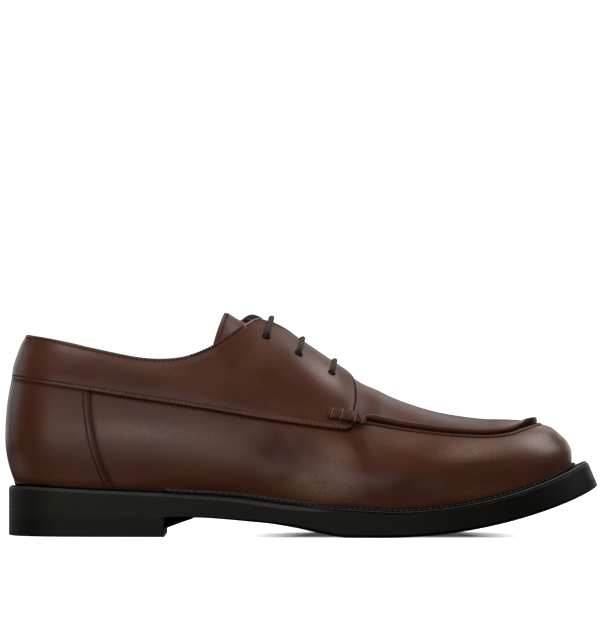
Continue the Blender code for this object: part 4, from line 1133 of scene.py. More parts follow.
def apron_half(side, stations):
    """Columns from the seam to the ridge on one side: points of the outer face, lift and tone."""
    middle = np.linspace(0, 1, 30)[1:]
    shares = np.concatenate([np.zeros(len(APRON_ROWS)), middle])
    offsets = np.concatenate([APRON_ROWS, APRON_ROWS[-1] * (1 - middle)])
    levels = levels_by_length(side, stations, 1.0, ridge_level(side, stations), shares, offsets)
    base = skin(side, stations[:, None], levels)
    across = np.concatenate([np.broadcast_to(APRON_ROWS, (len(stations), len(APRON_ROWS))),
                             np.full((len(stations), len(middle)), 9.0)], axis=1)
    inland = APRON_FLAT * smooth_step(across, (2.0, 5.0))
    out = smooth_step(base[..., 0], (APRON_SLIDE[0], APRON_SLIDE[1] + inland))
    lift = 0.2 + (apron_edge(across) - 0.2) * out
    lift = np.where(across < 0.3, np.minimum(lift, apron_edge(across)), lift)
    roll = smooth_step(base[..., 0], TOE_ROLL_RAMP)
    lift = lift + TOE_ROLL * hump(across, 1.2, 1.2) * roll
    # Painted shade in the seam's gutter, its two sewn grooves and on the roll, darker on the roll toward the
    # toe's tip, and a painted highlight line at 3.6 mm. The patches add painted light and shade.
    seam = (0.95 * hump(across, APRON_GROOVES[0], 0.36) + 0.85 * hump(across, APRON_GROOVES[1], 0.34)
            + 0.95 * hump(across, 0, 0.6) + (0.25 + 0.35 * roll) * hump(across, 1.0, 0.6)
            - 0.25 * hump(across, 3.6, 0.25))
    shade = seam * smooth_step(base[..., 0], APRON_SLIDE)
    tone = shade + painted_light_and_shade(base) * (shade < 0.3)
    points = base + skin_normal(side, stations[:, None], levels) * lift[..., None]
    return points, np.clip(tone, -1, 0.85)


def make_apron():
    stations = stations_through((station_at(APRON_UNDER), 2, 3), (110, 79))
    halves = {side: apron_half(side, stations) for side in (LATERAL, MEDIAL)}
    ridge = (halves[LATERAL][0][:, -1] + halves[MEDIAL][0][:, -1]) / 2
    ridge[stations >= 2] = ridge[np.argmax(stations >= 2)]
    for points, _ in halves.values():
        points[:, -1] = ridge
    columns = np.concatenate([halves[LATERAL][0], halves[MEDIAL][0][::-1][1:]])
    tone = np.concatenate([halves[LATERAL][1], halves[MEDIAL][1][::-1][1:]])
    count, rows = columns.shape[:2]
    quads = [(i * rows + j, (i + 1) * rows + j, (i + 1) * rows + j + 1, i * rows + j + 1)
             for i in range(count - 1) for j in range(rows - 1)]
    points, faces, kept = merge_points(columns.reshape(-1, 3), quads)
    new_piece("apron_plug", points, faces, [LEATHER], tone=tone.ravel()[kept], replaced=("apron",),
              slot="leather")


SEAM_THREAD = Thread(pitch=2.6, length=2.0, width=0.9, height=0.7, sink=0.2, skew=0.45)
SEAM_STITCH_START = 183.0


def make_seam_stitches():
    """The row of stitches along the vamp's gathered lip, round the toe from side to side."""
    stations = stations_through((station_at(SEAM_STITCH_START), 2, 3), (160, 119))
    paths, ups = [], []
    for side in (LATERAL, MEDIAL):
        levels = levels_by_length(side, stations, 0.0, 1.0, [1.0], [SEAM_STITCH])[:, 0]
        paths.append(lifted(side, stations, levels, 0.08))
        ups.append(skin_normal(side, stations, levels))
    path = np.concatenate([paths[0], paths[1][::-1][1:]])
    up = np.concatenate([ups[0], ups[1][::-1][1:]])
    stitch_piece("seam_stitches", [(path, up, SEAM_THREAD)], DARK_THREAD)


# Tuck rolls, where the apron's seam ends on the quarters

TuckRow = namedtuple("TuckRow", "x z width lift")
TUCK = [
    TuckRow(162.3, 61.4, 4.6, 2.0), TuckRow(163.0, 61.2, 7.2, 2.6), TuckRow(167.9, 60.3, 7.9, 3.0),
    TuckRow(173.1, 59.1, 8.0, 3.1), TuckRow(177.7, 58.2, 8.0, 2.9), TuckRow(180.6, 57.2, 7.8, 2.5),
    TuckRow(181.5, 56.9, 5.0, 1.8),
]
TUCK_THICKNESS = 1.35
TUCK_STITCHES = (164.6, 169.6, 176.2, 179.9)
TUCK_SLANT = 0.22
TUCK_SIDES = 24
NEEDLE_HOLE = Thread(pitch=1.2, length=1.5, width=1.5, height=0.7, sink=0.0, skew=0.0)


def tuck_frame(side, x):
    """Middle of the roll at places along it, its directions up and out of the wall, and its half width."""
    z, width, lift = (steady_curve([r.x for r in TUCK], values)(x) for values in list(zip(*TUCK))[1:])
    station = station_at(x)
    level = np.array([level_at_height(side, s, h) for s, h in zip(station, z)])
    up = unit(skin(side, station, level + 0.02) - skin(side, station, level - 0.02))
    out = skin_normal(side, station, level)
    return skin(side, station, level) + out * lift[:, None], up, out, width / 2


def make_tuck(name, side):
    """The roll, pinched by its cross stitches, with the stitches and the needle holes at their ends."""
    x = np.linspace(TUCK[0].x, TUCK[-1].x, 110)
    middle, up, out, half = tuck_frame(side, x)
    slant = up + TUCK_SLANT * unit(np.gradient(middle, axis=0))
    around = np.arange(TUCK_SIDES) * 2 * math.pi / TUCK_SIDES
    pinch = sum(hump(x, s, 0.75) for s in TUCK_STITCHES)
    puff = (1 - 0.22 * pinch)[:, None]
    rings = (middle[:, None] + slant[:, None] * (half[:, None] * puff * np.cos(around))[..., None]
             + out[:, None] * (TUCK_THICKNESS * puff * np.sin(around))[..., None])
    # Painted shade where the stitches pinch the roll and along its top and bottom edges, and darker from x 176
    # on
    tone = np.maximum(0.9 * np.clip(pinch, 0, 1)[:, None], 0.95 * np.abs(np.cos(around))**4)
    tone = np.maximum(tone, 0.35 * smooth_step(x, (175.5, 177.0))[:, None])
    ring_piece(name, rings, [LEATHER], tone=tone, slot="leather")
    turn = np.radians(np.linspace(-12, 192, 18))
    points, faces, holes, start = [], [], [], 0
    for k in (np.argmin(np.abs(x - s)) for s in TUCK_STITCHES):
        route = (middle[k] + np.outer(0.86 * half[k] * np.cos(turn), slant[k])
                 + np.outer(0.96 * TUCK_THICKNESS * np.sin(turn), out[k]))
        ahead = unit(middle[k] - middle[k - 1])
        tube = tube_rings(route, 0.36, 8, ahead)
        points.append(tube.reshape(-1, 3))
        faces += [[i + start for i in f] for f in faces_out(points[-1], ring_faces(len(route), 8))]
        start += len(points[-1])
        for end in (-1, 1):
            place = middle[k] + end * (half[k] - 0.1) * slant[k] + 0.2 * out[k]
            ends = np.stack([place - 0.6 * ahead, place + 0.6 * ahead])
            holes.append((ends, np.stack([out[k]] * 2), NEEDLE_HOLE))
    new_piece(name + "_threads", np.concatenate(points), faces, [THREAD], slot="leather")
    # The needle holes are dark thread dots on the surface: painted shade in the holes
    stitch_piece(name + "_holes", holes, DARK_THREAD)


# Tongue

TONGUE_STITCH = 2.0
TONGUE_LENGTH, TONGUE_HALF = 72.0, 26


def make_tongue():
    """The tongue under the facings, with a stitched border round its free end."""
    shares = np.concatenate([np.linspace(0, 1, 50)[:-4], 1 - EDGE_ROWS[::-1] / TONGUE_LENGTH])
    rows = np.concatenate([EDGE_ROWS[:8] / 60, np.linspace(0.04, 1, 26)])
    halves, tones = {}, {}
    for side in (LATERAL, MEDIAL):
        end = TONGUE_END_SIDE + (TONGUE_END_MIDDLE - TONGUE_END_SIDE) * (1 - (1 - rows)**2)
        x = TONGUE_FRONT + (end - TONGUE_FRONT) * shares[:, None]
        stations = station_at(x)
        level = level_off_ridge(side, stations, tongue_half_width(x) * (1 - rows))
        base = skin(side, stations, level)
        rear = (1 - shares[:, None]) * TONGUE_LENGTH * np.ones_like(x)
        border = rows[None] * TONGUE_HALF * np.ones_like(x)
        distance = np.minimum(rear, border)
        thick = rounded(distance, 0.9)
        pinch = 0.22 * stitch_dent(rear, TONGUE_STITCH) + 0.25 * smooth_step(-rear, (-2.2, -1.7))
        normal = skin_normal(side, stations, level)
        outer = base - normal * (tongue_depth(x) + 0.9 * (1 - thick) + pinch)[..., None]
        inner = base - normal * (tongue_depth(x) + TONGUE_LEATHER - 0.9 * (1 - thick))[..., None]
        halves[side] = outer, inner
        off = tongue_half_width(x) * (1 - rows)
        # Painted shade in bands 8 mm either side of the middle and a painted highlight down the middle, on the
        # free end
        bend_shade_and_highlight = 0.35 * hump(off, 8.0, 2.2) - 0.2 * hump(off, 0, 4.0)
        tones[side] = 0.2 * stitch_dent(rear, TONGUE_STITCH) + bend_shade_and_highlight * (1 - smooth_step(x, (117.0, 124.0)))
    rings = []
    for k in (0, 1):
        low, high = halves[LATERAL][k], halves[MEDIAL][k]
        middle = (low[:, -1:] + high[:, -1:]) / 2
        rings.append(np.concatenate([low[:, :-1], middle, high[:, :-1][:, ::-1]], axis=1))
    tone = np.concatenate([tones[LATERAL], tones[MEDIAL][:, :-1][:, ::-1]], axis=1)
    grid = np.concatenate([rings[0], rings[1][:, ::-1]], axis=1)
    width = rings[0].shape[1]
    slots = np.concatenate([np.zeros(width, int), np.ones(width, int)])
    ring_piece("tongue_sheet", grid, [LEATHER, LINING], slots, tone=np.concatenate([tone, tone * 0], axis=1),
               replaced=("tongue",), slot="leather")
    at = np.argmin(np.abs((1 - shares) * TONGUE_LENGTH - TONGUE_STITCH))
    path = rings[0][at, 6:-6]
    up = unit(np.cross(np.gradient(rings[0], axis=0), np.gradient(rings[0], axis=1)))[at, 6:-6]
    up = up * np.sign(up[:, 2:].mean())
    stitch_piece("tongue_stitches", [(path + up * 0.05, up, DOT_THREAD)], DARK_THREAD)


# Lace

LACE_WIDTH, LACE_THICKNESS = 2.9, 2.2
LACE_SIDES = 24
LACE_STEP = 0.22
BRAID_PITCH = 3.2
BRAID_DEPTH = 0.10
HIDDEN_POINTS = 5
HIDDEN_DEPTH = -2.45    # of the runs under the facings, off the wall's face


def bar_route(hole):
    """Points of one bar of the lace from inside the lateral hole, over the facings, into the medial hole."""
    facing = FIT_GAP + FACING_LIFT * smooth_step(hole.x, FACING_LIFT_RAMP) + 0.85 * QUARTER_LEATHER
    rest = facing + LACE_THICKNESS / 2 - 0.5
    stops = [(0.0, -2.6, 0.0), (0.0, -0.4, 0.0), (0.015, 1.7, 0.0), (0.075, 3.1, 0.0),
             (0.18, rest + 0.1, 0.0), (0.34, rest, 0.0), (0.5, rest, 0.0), (0.66, rest, 0.25),
             (0.83, rest, 0.7), (1.0, rest, 1.0)]
    halves = []
    for side in (LATERAL, MEDIAL):
        start = level_at_height(side, station_at(hole.x), hole.height)
        edge = float(level_off_ridge(side, station_at(hole.x), throat_gap(hole.x)))
        half = []
        for share, lift, drop in stops:
            x = hole.x + hole.lean * math.sin(share * math.pi / 2)
            station = station_at(x)
            level = start + (float(ridge_level(side, station)) - start) * share
            row = min(1.0, (level - 1) / (edge - 1))
            stand = lift - drop * hole.sag + facing_rise[side](x) * row**RISE_POWER * (share > 0.1)
            half.append(lifted(side, station, level, stand))
        halves.append(np.array(half))
    halves[0][-1] = (halves[0][-1] + halves[1][-1]) / 2
    return np.concatenate([halves[0], halves[1][:-1][::-1]])


def hidden_route(side, start, end):
    """Points of a run of lace under a facing, between two holes."""
    points = []
    for share in np.linspace(0.12, 0.88, HIDDEN_POINTS):
        x = start.x + (end.x - start.x) * share
        height = start.height + (end.height - start.height) * share
        station = station_at(x)
        level = level_at_height(side, station, height)
        points.append(lifted(side, station, level, HIDDEN_DEPTH))
    return np.array(points)


def make_lace():
    """One lace in three bars: its hidden ends stop at the top holes."""
    top, middle, low = LACE_HOLES
    route = np.concatenate([
        bar_route(top), hidden_route(MEDIAL, top, middle), bar_route(middle)[::-1],
        hidden_route(LATERAL, middle, low), bar_route(low), hidden_route(MEDIAL, low, top),
    ])
    marks = arc_length(route)
    span = marks[-1]
    path = natural_spline(marks, route)(np.linspace(0, span, 1200))
    length = arc_length(path)
    path = sampled(np.arange(0, length[-1], LACE_STEP), length, path)
    bar = len(bar_route(top))
    starts = [k * (bar + HIDDEN_POINTS) for k in range(3)]
    shown = np.zeros(len(path))
    dive_shade = np.ones(len(path))
    along = np.linspace(0, span, len(path))
    for s in starts:
        shown = np.maximum(shown, smooth_step(along, (marks[s], marks[s + 2]))
                           * (1 - smooth_step(along, (marks[s + bar - 3], marks[s + bar - 1]))))
        dive_shade = np.minimum(dive_shade, 1 - smooth_step(along, (marks[s + 2], marks[s + 4]))
                          * (1 - smooth_step(along, (marks[s + bar - 5], marks[s + bar - 3]))))
    around = np.arange(LACE_SIDES) * 2 * math.pi / LACE_SIDES
    turn = 2 * math.pi * np.arange(len(path))[:, None] * LACE_STEP / BRAID_PITCH
    braid = np.maximum(np.cos(4 * around + turn), np.cos(4 * around - turn))
    oval = LACE_WIDTH / 2 - (LACE_WIDTH - LACE_THICKNESS) / 2 * np.cos(around)**2
    radius = oval * (0.38 + 0.62 * shown)[:, None] + BRAID_DEPTH * (braid - 0.7)
    rings = tube_rings(path, radius, LACE_SIDES, np.array((1.0, 0.05, 0.4)))
    # Painted shade in the braid's hollows, and where the lace dives into the holes and under the facings
    tone = np.clip(0.5 - 0.7 * braid, 0, 0.6) + dive_shade[:, None] * 0.9
    ring_piece("lace", rings, [LACE], tone=tone, replaced=("lace_bar_1", "lace_bar_2", "lace_bar_3"),
               slot="lace")


# Sole

TREAD_PITCH = 4.6
TREAD_DEPTH = 0.7
SOLE_ACROSS = 44
SEAT_CORNER = 0.04    # the sole's lower corner over the heel, where the two read as one
HEEL_TOP = 9.86
SIDE_SHARES = (0.015, 0.1, 0.25, 0.4, 0.55, 0.7, 0.85, 0.96, 1.0)
BEVEL_SHARES = (0.06, 0.2, 0.8, 0.94, 1.0)


def toe_lean(x):
    """How far the foot of the sole's side stands ahead of its top edge, in the toe spring."""
    slope = np.clip(x - EDGE_SPRING_START, 0, None) / EDGE_SPRING_RADIUS
    return (edge_height(x) - underside(x)) * TOE_FACE_LEAN * slope


def roll(x):
    """How far the sole's bottom edge stands off the underside's middle."""
    return ROLL_HEIGHT * smooth_step(x, ROLL_RAMP)


def tread(points, margin):
    """Depth of the fine grooves across the underside, kept off its margin."""
    wave = np.cos(2 * math.pi * (points[..., 0] + 0.12 * np.abs(points[..., 1] - 4)) / TREAD_PITCH)
    return TREAD_DEPTH * smooth_step(wave, (0.45, 0.85)) * smooth_step(margin, (6.0, 7.2))


def sole_edge(side, stations, inset):
    """The sole's edge in plan, drawn in by a distance."""
    outward = plan_point(side, stations, "outward")
    return plan_point(side, stations, "edge") - outward * np.asarray(inset)[..., None]


def sole_side(side, stations):
    """Rows of the sole's side from the underside's margin up over the bevel, for one side's stations."""
    x = plan_point(side, stations, "edge")[:, 0]
    bevel = last["bevel"](plan_point(LATERAL, stations, "edge")[:, 0])
    lift = roll(x)
    corner = SEAT_CORNER + (SOLE_CORNER - SEAT_CORNER) * smooth_step(x, (HEEL_BREAST, HEEL_BREAST + 3))
    rows = []

    def row(inset, lean, height):
        plan = sole_edge(side, stations, inset)
        ahead = plan[:, 0] + lean * toe_lean(plan[:, 0])
        rows.append(np.stack([ahead, plan[:, 1], height(ahead)], axis=1))

    def margin_height(q, t):
        return underside(q) + roll(q) * t * t

    def corner_height(q, a):
        return underside(q) + roll(q) + corner * (1 - np.cos(a))

    def face_height(q, t):
        foot = underside(q) + roll(q) + corner
        return foot + (edge_height(q) - bevel - foot) * t

    def bevel_height(q, t):
        return edge_height(q) - bevel * (1 - t)

    def top_height(q, drop):
        return edge_height(q) - drop

    for t in np.linspace(0, 1, 6)[:-1]:
        row(corner + ROLL_WIDTH * lift * (1 - t), 1, partial(margin_height, t=t))
    for a in np.radians(np.linspace(0, 90, 6)):
        row(corner * (1 - np.sin(a)), 1, partial(corner_height, a=a))
    for t in SIDE_SHARES:
        row(0.0, 1 - t, partial(face_height, t=t))
    for t in BEVEL_SHARES:
        row(bevel * t, 0, partial(bevel_height, t=t))
    for inset, drop in ((0.9, 0.0), (2.0, 0.1)):
        row(bevel + inset, 0, partial(top_height, drop=drop))
    # Painted shade on the side toward the toe, a little painted light at the heel end, and a painted highlight
    # along the bevel
    shade = 0.35 * smooth_step(x, (120, 200)) - 0.12 * (1 - smooth_step(x, (80, 110)))
    tone = np.tile(shade, (len(rows), 1)).T
    tone[:, -len(BEVEL_SHARES) - 2:-2] = -0.85 * smooth_step(bevel, (0.6, 1.6))[:, None]
    return np.stack(rows, axis=1), tone


def across_grid(lateral, medial, count):
    """Rows of points straight across from one line to another."""
    t = np.linspace(0, 1, count)
    return lateral[:, None] + (medial - lateral)[:, None] * t[:, None]


def merged_rings(ring, front=False):
    """Points, faces and kept points of rings that close at both ends, or with a flat face at the front."""
    faces = ring_faces(*ring.shape[:2], caps=(False, front))
    points, faces, kept = merge_points(ring.reshape(-1, 3), faces)
    return points, faces_out(points, faces), kept


def closed_shell(name, lateral, medial, tone, groove, replaced, front=False):
    """A body of rubber from the side rows of both sides, with a trodden underside and a plain top.

    Its ends are closed where the two sides meet, and front asks for a flat face at the front end.
    """
    under = across_grid(lateral[:, 0], medial[:, 0], SOLE_ACROSS)
    width = np.linalg.norm(medial[:, 0] - lateral[:, 0], axis=1)[:, None]
    t = np.linspace(0, 1, SOLE_ACROSS)
    margin = np.minimum(width * np.minimum(t, 1 - t), np.minimum(under[..., 0] - under[..., 0].min(),
                                                                   under[..., 0].max() - under[..., 0]))
    under[..., 2] += groove(under, margin)
    top = across_grid(lateral[:, -1], medial[:, -1], 3)
    ring = np.concatenate([under[:, ::-1], lateral[:, 1:], top[:, 1:-1], medial[:, ::-1][:, :-1]], axis=1)
    plain = np.zeros((len(lateral), SOLE_ACROSS))
    tone = np.concatenate([plain, tone[:, 1:], plain[:, :1], tone[:, ::-1][:, :-1]], axis=1)
    points, faces, kept = merged_rings(ring, front)
    new_piece(name, points, faces, [RUBBER], tone=tone.ravel()[kept], replaced=replaced, slot="rubber")


def make_outsole():
    stations = stations_through((0, 1, 2, 3), (40, 330, 70))
    lateral, tone = sole_side(LATERAL, stations)
    medial, _ = sole_side(MEDIAL, stations)

    def groove(points, margin):
        return tread(points, margin) * smooth_step(points[..., 0], (158, 162))

    closed_shell("outsole_unit", lateral, medial, tone, groove, ("outsole",))


def heel_side(side, stations):
    """Rows of the heel's side, from its rounded lower edge up to its top, as insets and heights."""
    turn = np.radians(np.linspace(0, 90, 6))
    stops = [(SOLE_CORNER * (1 - math.sin(a)), SOLE_CORNER * (1 - math.cos(a))) for a in turn]
    stops += [(0.0, z) for z in (SOLE_CORNER + 0.15, 2.5, 5.0, 7.5, HEEL_TOP - 0.2, HEEL_TOP - 0.03)]
    stops += [(0.01, HEEL_TOP - 0.01), (0.03, HEEL_TOP), (3.0, HEEL_TOP)]
    rows = []
    for inset, z in stops:
        rows.append(np.column_stack([sole_edge(side, stations, inset), np.full(len(stations), z)]))
    return np.stack(rows, axis=1)


def make_heel():
    stations = stations_through((0, 1, station_at(HEEL_BREAST)), (40, 89))
    lateral, medial = heel_side(LATERAL, stations), heel_side(MEDIAL, stations)
    closed_shell("heel_block", lateral, medial, np.zeros(lateral.shape[:2]), tread, ("heel",), True)
    front = float(station_at(HEEL_BREAST + WEDGE_REACH))
    low, high = (plan_point(s, front, "edge")[1] - s * WEDGE_INSET for s in (LATERAL, MEDIAL))
    back, tip = HEEL_BREAST - 3, HEEL_BREAST + WEDGE_REACH
    outline = [(back, WEDGE_FOOT), (HEEL_BREAST + 0.4, WEDGE_FOOT), (HEEL_BREAST + 1.2, WEDGE_FOOT + 0.25),
               (tip - 0.8, HEEL_HEIGHT - 0.55), (tip, HEEL_HEIGHT - 0.1), (tip, HEEL_HEIGHT + 0.25),
               (back, HEEL_HEIGHT + 0.25)]
    middle = np.mean(outline, axis=0)
    rings = []
    for y, shrink in ((low, 0.94), (low + 0.3, 1.0), (high - 0.3, 1.0), (high, 0.94)):
        rings.append([(*(middle + (np.array(p) - middle) * (1, shrink)), y) for p in outline])
    rings = np.array(rings)[..., [0, 2, 1]]
    ring_piece("heel_web", rings, [RUBBER], slot="rubber")


# Welt

WELT_THREAD = Thread(pitch=2.9, length=2.3, width=1.1, height=1.1, sink=0.3, skew=0.0)
LIP_ROUND = 0.25
STITCH_SHARE = 0.45    # height of the stitches between the welt's rim and the top of its lip


def welt_grid(side, stations):
    """Rings through the welt, the tone of each, and the line that its stitches lie on."""
    s = section(side, stations)
    edge, outward = plan_point(side, stations, "edge"), plan_point(side, stations, "outward")
    base = s["foot_height"]
    floor = base - SOLE_GAP
    lip = floor + welt_lip(edge[:, 0])
    depth = 1 - (lip - base) / (s["widest_height"] - base)
    lean = np.linalg.norm(s["widest"] - s["foot"], axis=1) * (1 - depth**2)
    bevel = last["bevel"](plan_point(LATERAL, stations, "edge")[:, 0])
    rim = np.sum((edge - s["foot"]) * outward, axis=1) - bevel - 0.2
    rise = edge_height((s["foot"] + outward * rim[:, None])[:, 0]) - edge_height(s["foot"][:, 0])
    out = lean + 0.1 + WELT_LIP_WIDTH * 0.75
    seat = floor + WELT_EDGE + (lip - floor - WELT_EDGE) * STITCH_SHARE
    one = np.ones_like(rim)
    waist = 1 - smooth_step(edge[:, 0], (150.0, 172.0))
    # Tone of each profile row: a painted highlight along the rim, stronger toward the toe, painted shade in the
    # stitch groove and on the lip, and a painted highlight on the lip's top at the waist
    shine = 0.6 + 0.4 * smooth_step(edge[:, 0], (225.0, 262.0))
    profile = [
        (0.3 * one, base, 0.0), (rim, base + rise, 0.0), (rim + 0.06, floor + 0.5 + rise, 0.0),
        (rim, floor + WELT_EDGE - 0.06 + rise, -0.3 * shine),
        (rim - 0.15, floor + WELT_EDGE + 0.04 + rise, -0.9 * shine),
        (rim - 0.45, floor + WELT_EDGE + 0.04 + rise, -0.75 * shine),
        (rim - 0.75, floor + WELT_EDGE - 0.06 + rise, 0.4), (out + 1.3, floor + 0.78 + rise / 2, 0.9),
        (out + 0.5, seat - 0.5 + rise / 3, 0.9), (out + 0.12, seat - 0.2, 0.9), (out + 0.02, seat + 0.3, 0.7),
        (out, lip - LIP_ROUND, 0.6 - 0.4 * waist), (out - 0.08, lip - 0.07, 0.6 - waist),
        (out - LIP_ROUND, lip, 0.6 - 1.3 * waist), (lean + 0.3, lip, 0.7 - 1.2 * waist),
        (lean + 0.1, lip - 0.1, 0.8), (lean + 0.05, lip - 0.5, 0.9),
    ]
    rows = [np.column_stack([s["foot"] + outward * reach[:, None], z]) for reach, z, _ in profile]
    points = np.stack(rows, axis=1)
    tone = np.stack([np.broadcast_to(t, one.shape) for _, _, t in profile], axis=1)
    line = np.column_stack([s["foot"] + outward * (out + 0.55)[:, None], seat + rise / 3])
    return points, tone, line


def make_welt():
    stations = stations_through((station_at(HEEL_BREAST), 2, 3), (260, 89))
    grids = [welt_grid(LATERAL, stations), welt_grid(MEDIAL, stations[::-1][1:])]
    points, tone, line = (np.concatenate(both) for both in zip(*grids))
    ring_piece("welt_strip", points, [WELT_RUBBER], tone=tone, replaced=("welt",), slot="rubber")
    up = np.tile((0.0, 0.0, 1.0), (len(line), 1))
    stitch_piece("welt_stitches", [(line[2:-2], up[2:-2], WELT_THREAD)], WELT_CORD, slot="rubber")


# Rand round the heel seat

RAND_OUT = 1.7
# The rand is real, but its heights are raised so that it also stands for the dark shade band between the upper
# and the heel seat
RAND_HEIGHT = [(-4.0, 2.4), (20.0, 2.3), (50.0, 1.9), (82.0, 1.5)]
RAND_PROFILE = [(-0.3, 0.04), (0.9, 0.04), (1.0, 0.3), (1.0, 0.6), (0.85, 0.88), (0.5, 1.0), (0.0, 1.0),
                (-0.4, 0.9)]    # shares of its reach and its height, round its section
rand_height = steady_curve(*zip(*RAND_HEIGHT))


def rand_grid(side, stations):
    """Rings through the black strip between the upper and the sole's heel seat."""
    s = section(side, stations)
    outward = plan_point(side, stations, "outward")
    floor = s["foot_height"] - SOLE_GAP
    tall = rand_height(s["foot"][:, 0])
    depth = 1 - np.clip((tall - SOLE_GAP) / (s["widest_height"] - s["foot_height"]), 0, 1)
    lean = np.linalg.norm(s["widest"] - s["foot"], axis=1) * (1 - depth**2)
    rows = []
    for share, height in RAND_PROFILE:
        reach = lean * height + RAND_OUT * share
        rows.append(np.column_stack([s["foot"] + outward * reach[:, None], floor + tall * height + 0.03]))
    return np.stack(rows, axis=1)


def make_rand():
    stations = stations_through((0, 1, station_at(HEEL_BREAST)), (50, 49))
    grid = np.concatenate([rand_grid(LATERAL, stations[::-1]), rand_grid(MEDIAL, stations[1:])])
    # tone 0.8 darkens the black rubber further: painted shade
    ring_piece("heel_rand", grid, [WELT_RUBBER], tone=np.full(grid.shape[:2], 0.8), slot="rubber")


# Insole

DISH_ACROSS = 28
DISH_DEPTH = 1.4
DISH_WIDTH = 50    # across the footbed, where the dish has its full depth


def make_insole():
    """The footbed over its hidden lift, dished a little and rounded at its rim."""
    stations = stations_through((0, 1, 2, 3), (30, 110, 36))
    sides = {}
    for side in (LATERAL, MEDIAL):
        s = section(side, stations)
        x = s["foot"][:, 0]
        base = s["foot_height"]
        top = base + INSOLE_THICKNESS + HIDDEN_LIFT * (1 - smooth_step(x, LIFT_RAMP))
        rows = []
        for drop, inset in ((None, 0.7), (1.2, 0.7), (0.5, 0.85), (0.12, 1.3), (0.0, 2.2)):
            z = base + 0.2 if drop is None else top - drop
            share = np.clip((z - base) / (s["widest_height"] - base), 0, 1)
            level = np.where(z < s["widest_height"], share - 1, 0.12)
            foot = lifted(side, stations, level, -(UPPER_WALL + inset))
            rows.append(np.column_stack([foot[:, :2], z]))
        sides[side] = np.stack(rows, axis=1)
    dish = across_grid(sides[LATERAL][:, -1], sides[MEDIAL][:, -1], DISH_ACROSS)
    t = np.linspace(-1, 1, DISH_ACROSS)
    width = np.linalg.norm(dish[:, -1] - dish[:, 0], axis=1)[:, None]
    dish[..., 2] -= DISH_DEPTH * (1 - t**2) * np.clip(width / DISH_WIDTH, 0, 1)
    under = across_grid(sides[LATERAL][:, 0], sides[MEDIAL][:, 0], 4)
    ring = [under[:, ::-1], sides[LATERAL][:, 1:], dish[:, 1:-1], sides[MEDIAL][:, ::-1][:, :-1]]
    points, faces, _ = merged_rings(np.concatenate(ring, axis=1))
    new_piece("footbed", points, faces, [LINING], replaced=("insole",), slot="lining")


# Studio

CAMERA_DISTANCE = 2.5
CAMERA_HEIGHT = 0.08
CAMERA_AIM = (-0.0004, 0.006, 0.1137)
VIEW_HEIGHT = 0.320
SENSOR = 36.0

LAMP_DISTANCE = 1.4
LAMP_AIM = (0.0, 0.0, 0.06)
Lamp = namedtuple("Lamp", "name azimuth elevation width height energy")
LAMPS = [
    Lamp("key_left", -38, 54, 0.6, 0.6, 7.2),
    Lamp("front_middle", -12, 4, 0.6, 0.6, 2.5),
    Lamp("front_left", -38, 4, 0.6, 0.6, 2.8),
    Lamp("front_right", 12, 4, 0.6, 0.6, 2.4),
    Lamp("right", 95, 38, 0.6, 1.0, 7.5),
    Lamp("back_right", 125, 54, 0.6, 0.6, 3.0),
    Lamp("back_left", -160, 54, 0.6, 0.6, 4.0),
    Lamp("rim_right", 160, 28, 0.6, 0.6, 1.4),
    Lamp("rim_left", -118, 12, 0.5, 0.6, 1.6),
    Lamp("inner_left", -150, 6, 0.6, 0.4, 1.2),
    Lamp("inner_right", 150, 6, 0.6, 0.4, 1.2),
]
WORLD_GREY = 0.015


def aim(obj, place, target):
    obj.location = place
    obj.rotation_euler = (Vector(target) - Vector(place)).to_track_quat("-Z", "Y").to_euler()


def make_studio():
    scene = bpy.context.scene
    scene.view_settings.view_transform = "Standard"
    camera = bpy.data.cameras.new("camera")
    camera.sensor_width = SENSOR
    camera.lens = SENSOR * CAMERA_DISTANCE / VIEW_HEIGHT
    eye = bpy.data.objects.new("camera", camera)
    scene.collection.objects.link(eye)
    aim(eye, (CAMERA_AIM[0], CAMERA_AIM[1] - CAMERA_DISTANCE, CAMERA_HEIGHT), CAMERA_AIM)
    scene.camera = eye
    for lamp in LAMPS:
        light = bpy.data.lights.new(lamp.name, "AREA")
        light.shape = "RECTANGLE"
        light.size, light.size_y = lamp.width, lamp.height
        light.energy = lamp.energy
        holder = bpy.data.objects.new(lamp.name, light)
        scene.collection.objects.link(holder)
        a, e = math.radians(lamp.azimuth), math.radians(lamp.elevation)
        way = Vector((math.sin(a) * math.cos(e), -math.cos(a) * math.cos(e), math.sin(e)))
        aim(holder, Vector(LAMP_AIM) + LAMP_DISTANCE * way, LAMP_AIM)
    world = bpy.data.worlds.new("studio")
    world.use_nodes = True
    background = world.node_tree.nodes["Background"]
    background.inputs["Color"].default_value = (WORLD_GREY, WORLD_GREY, WORLD_GREY, 1)
    scene.world = world
    make_floor()


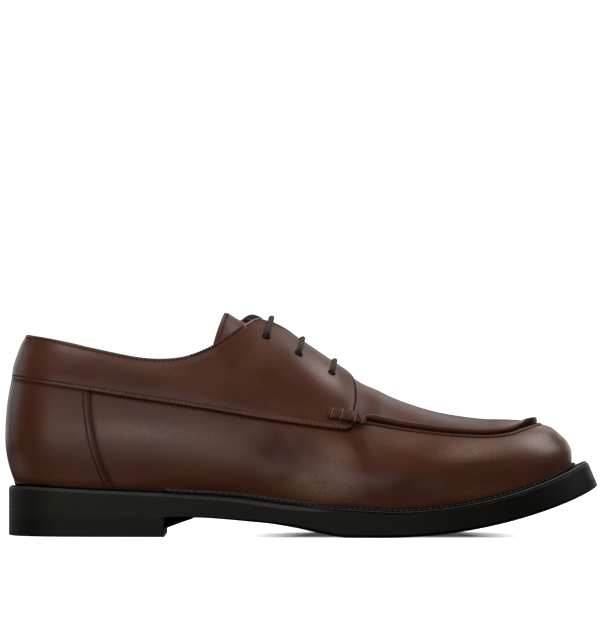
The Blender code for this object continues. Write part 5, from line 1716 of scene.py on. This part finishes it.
# Painted shadow on the floor under the ball of the foot: sizes along and across, and where it lies
SHADE_SCALE = (1 / 0.058, 1 / 0.125, 1.0)
SHADE_PLACE = (-0.0432 / 0.058, 0.020 / 0.125, 0.0)


def make_floor():
    """A pale sheet that runs out behind the shoe and up, lit by itself so that it stays even, with a painted
    shadow where it glows less round the ball of the foot.
    """
    made = Shader("studio_sheet", Roughness=0.9, Base_Color=(0.9, 0.9, 0.9, 1), Emission_Color=(1, 1, 1, 1))
    near = made.node("ShaderNodeMapping", {"Vector": made.place}, Scale=SHADE_SCALE, Location=SHADE_PLACE)
    away = made.node("ShaderNodeVectorMath", {0: near.outputs[0]}, operation="LENGTH").outputs["Value"]
    ahead = made.node("ShaderNodeSeparateXYZ", {"Vector": made.place}).outputs["Y"]
    # less glow round the ball of the foot is painted shadow; in front of the shoe the sheet keeps its full glow
    around, behind = made.spread(away, 0.74, 1.24, 0.06, 1.1), made.spread(ahead, -0.052, -0.022, 1.1, 0.0)
    made.feed(Emission_Strength=made.math("MAXIMUM", around, behind))
    depth, rise, bend = 2.2, 2.0, 0.6
    profile = [(-4.0, 0.0), (depth, 0.0)]
    turn = np.radians(np.arange(6, 91, 6))
    profile += [(depth + bend * math.sin(a), bend - bend * math.cos(a)) for a in turn]
    profile.append((depth + bend, rise + bend))
    points = [(x, y, z) for x in (-4.0, 4.0) for y, z in profile]
    count = len(profile)
    mesh = bpy.data.meshes.new("sheet")
    mesh.from_pydata(points, [], [(i, i + count, i + count + 1, i + 1) for i in range(count - 1)])
    mesh.shade_smooth()
    mesh.materials.append(made.material)
    floor = bpy.data.objects.new("sheet", mesh)
    floor.visible_diffuse = False
    floor.visible_glossy = False
    bpy.context.scene.collection.objects.link(floor)


def main():
    make_studio()
    make_upper()
    make_quarter("lateral_quarter", LATERAL)
    make_quarter("medial_quarter", MEDIAL)
    make_counter()
    make_apron()
    make_seam_stitches()
    make_tuck("lateral_tuck", LATERAL)
    make_tuck("medial_tuck", MEDIAL)
    make_tongue()
    make_lace()
    make_outsole()
    make_heel()
    make_welt()
    make_rand()
    make_insole()


main()
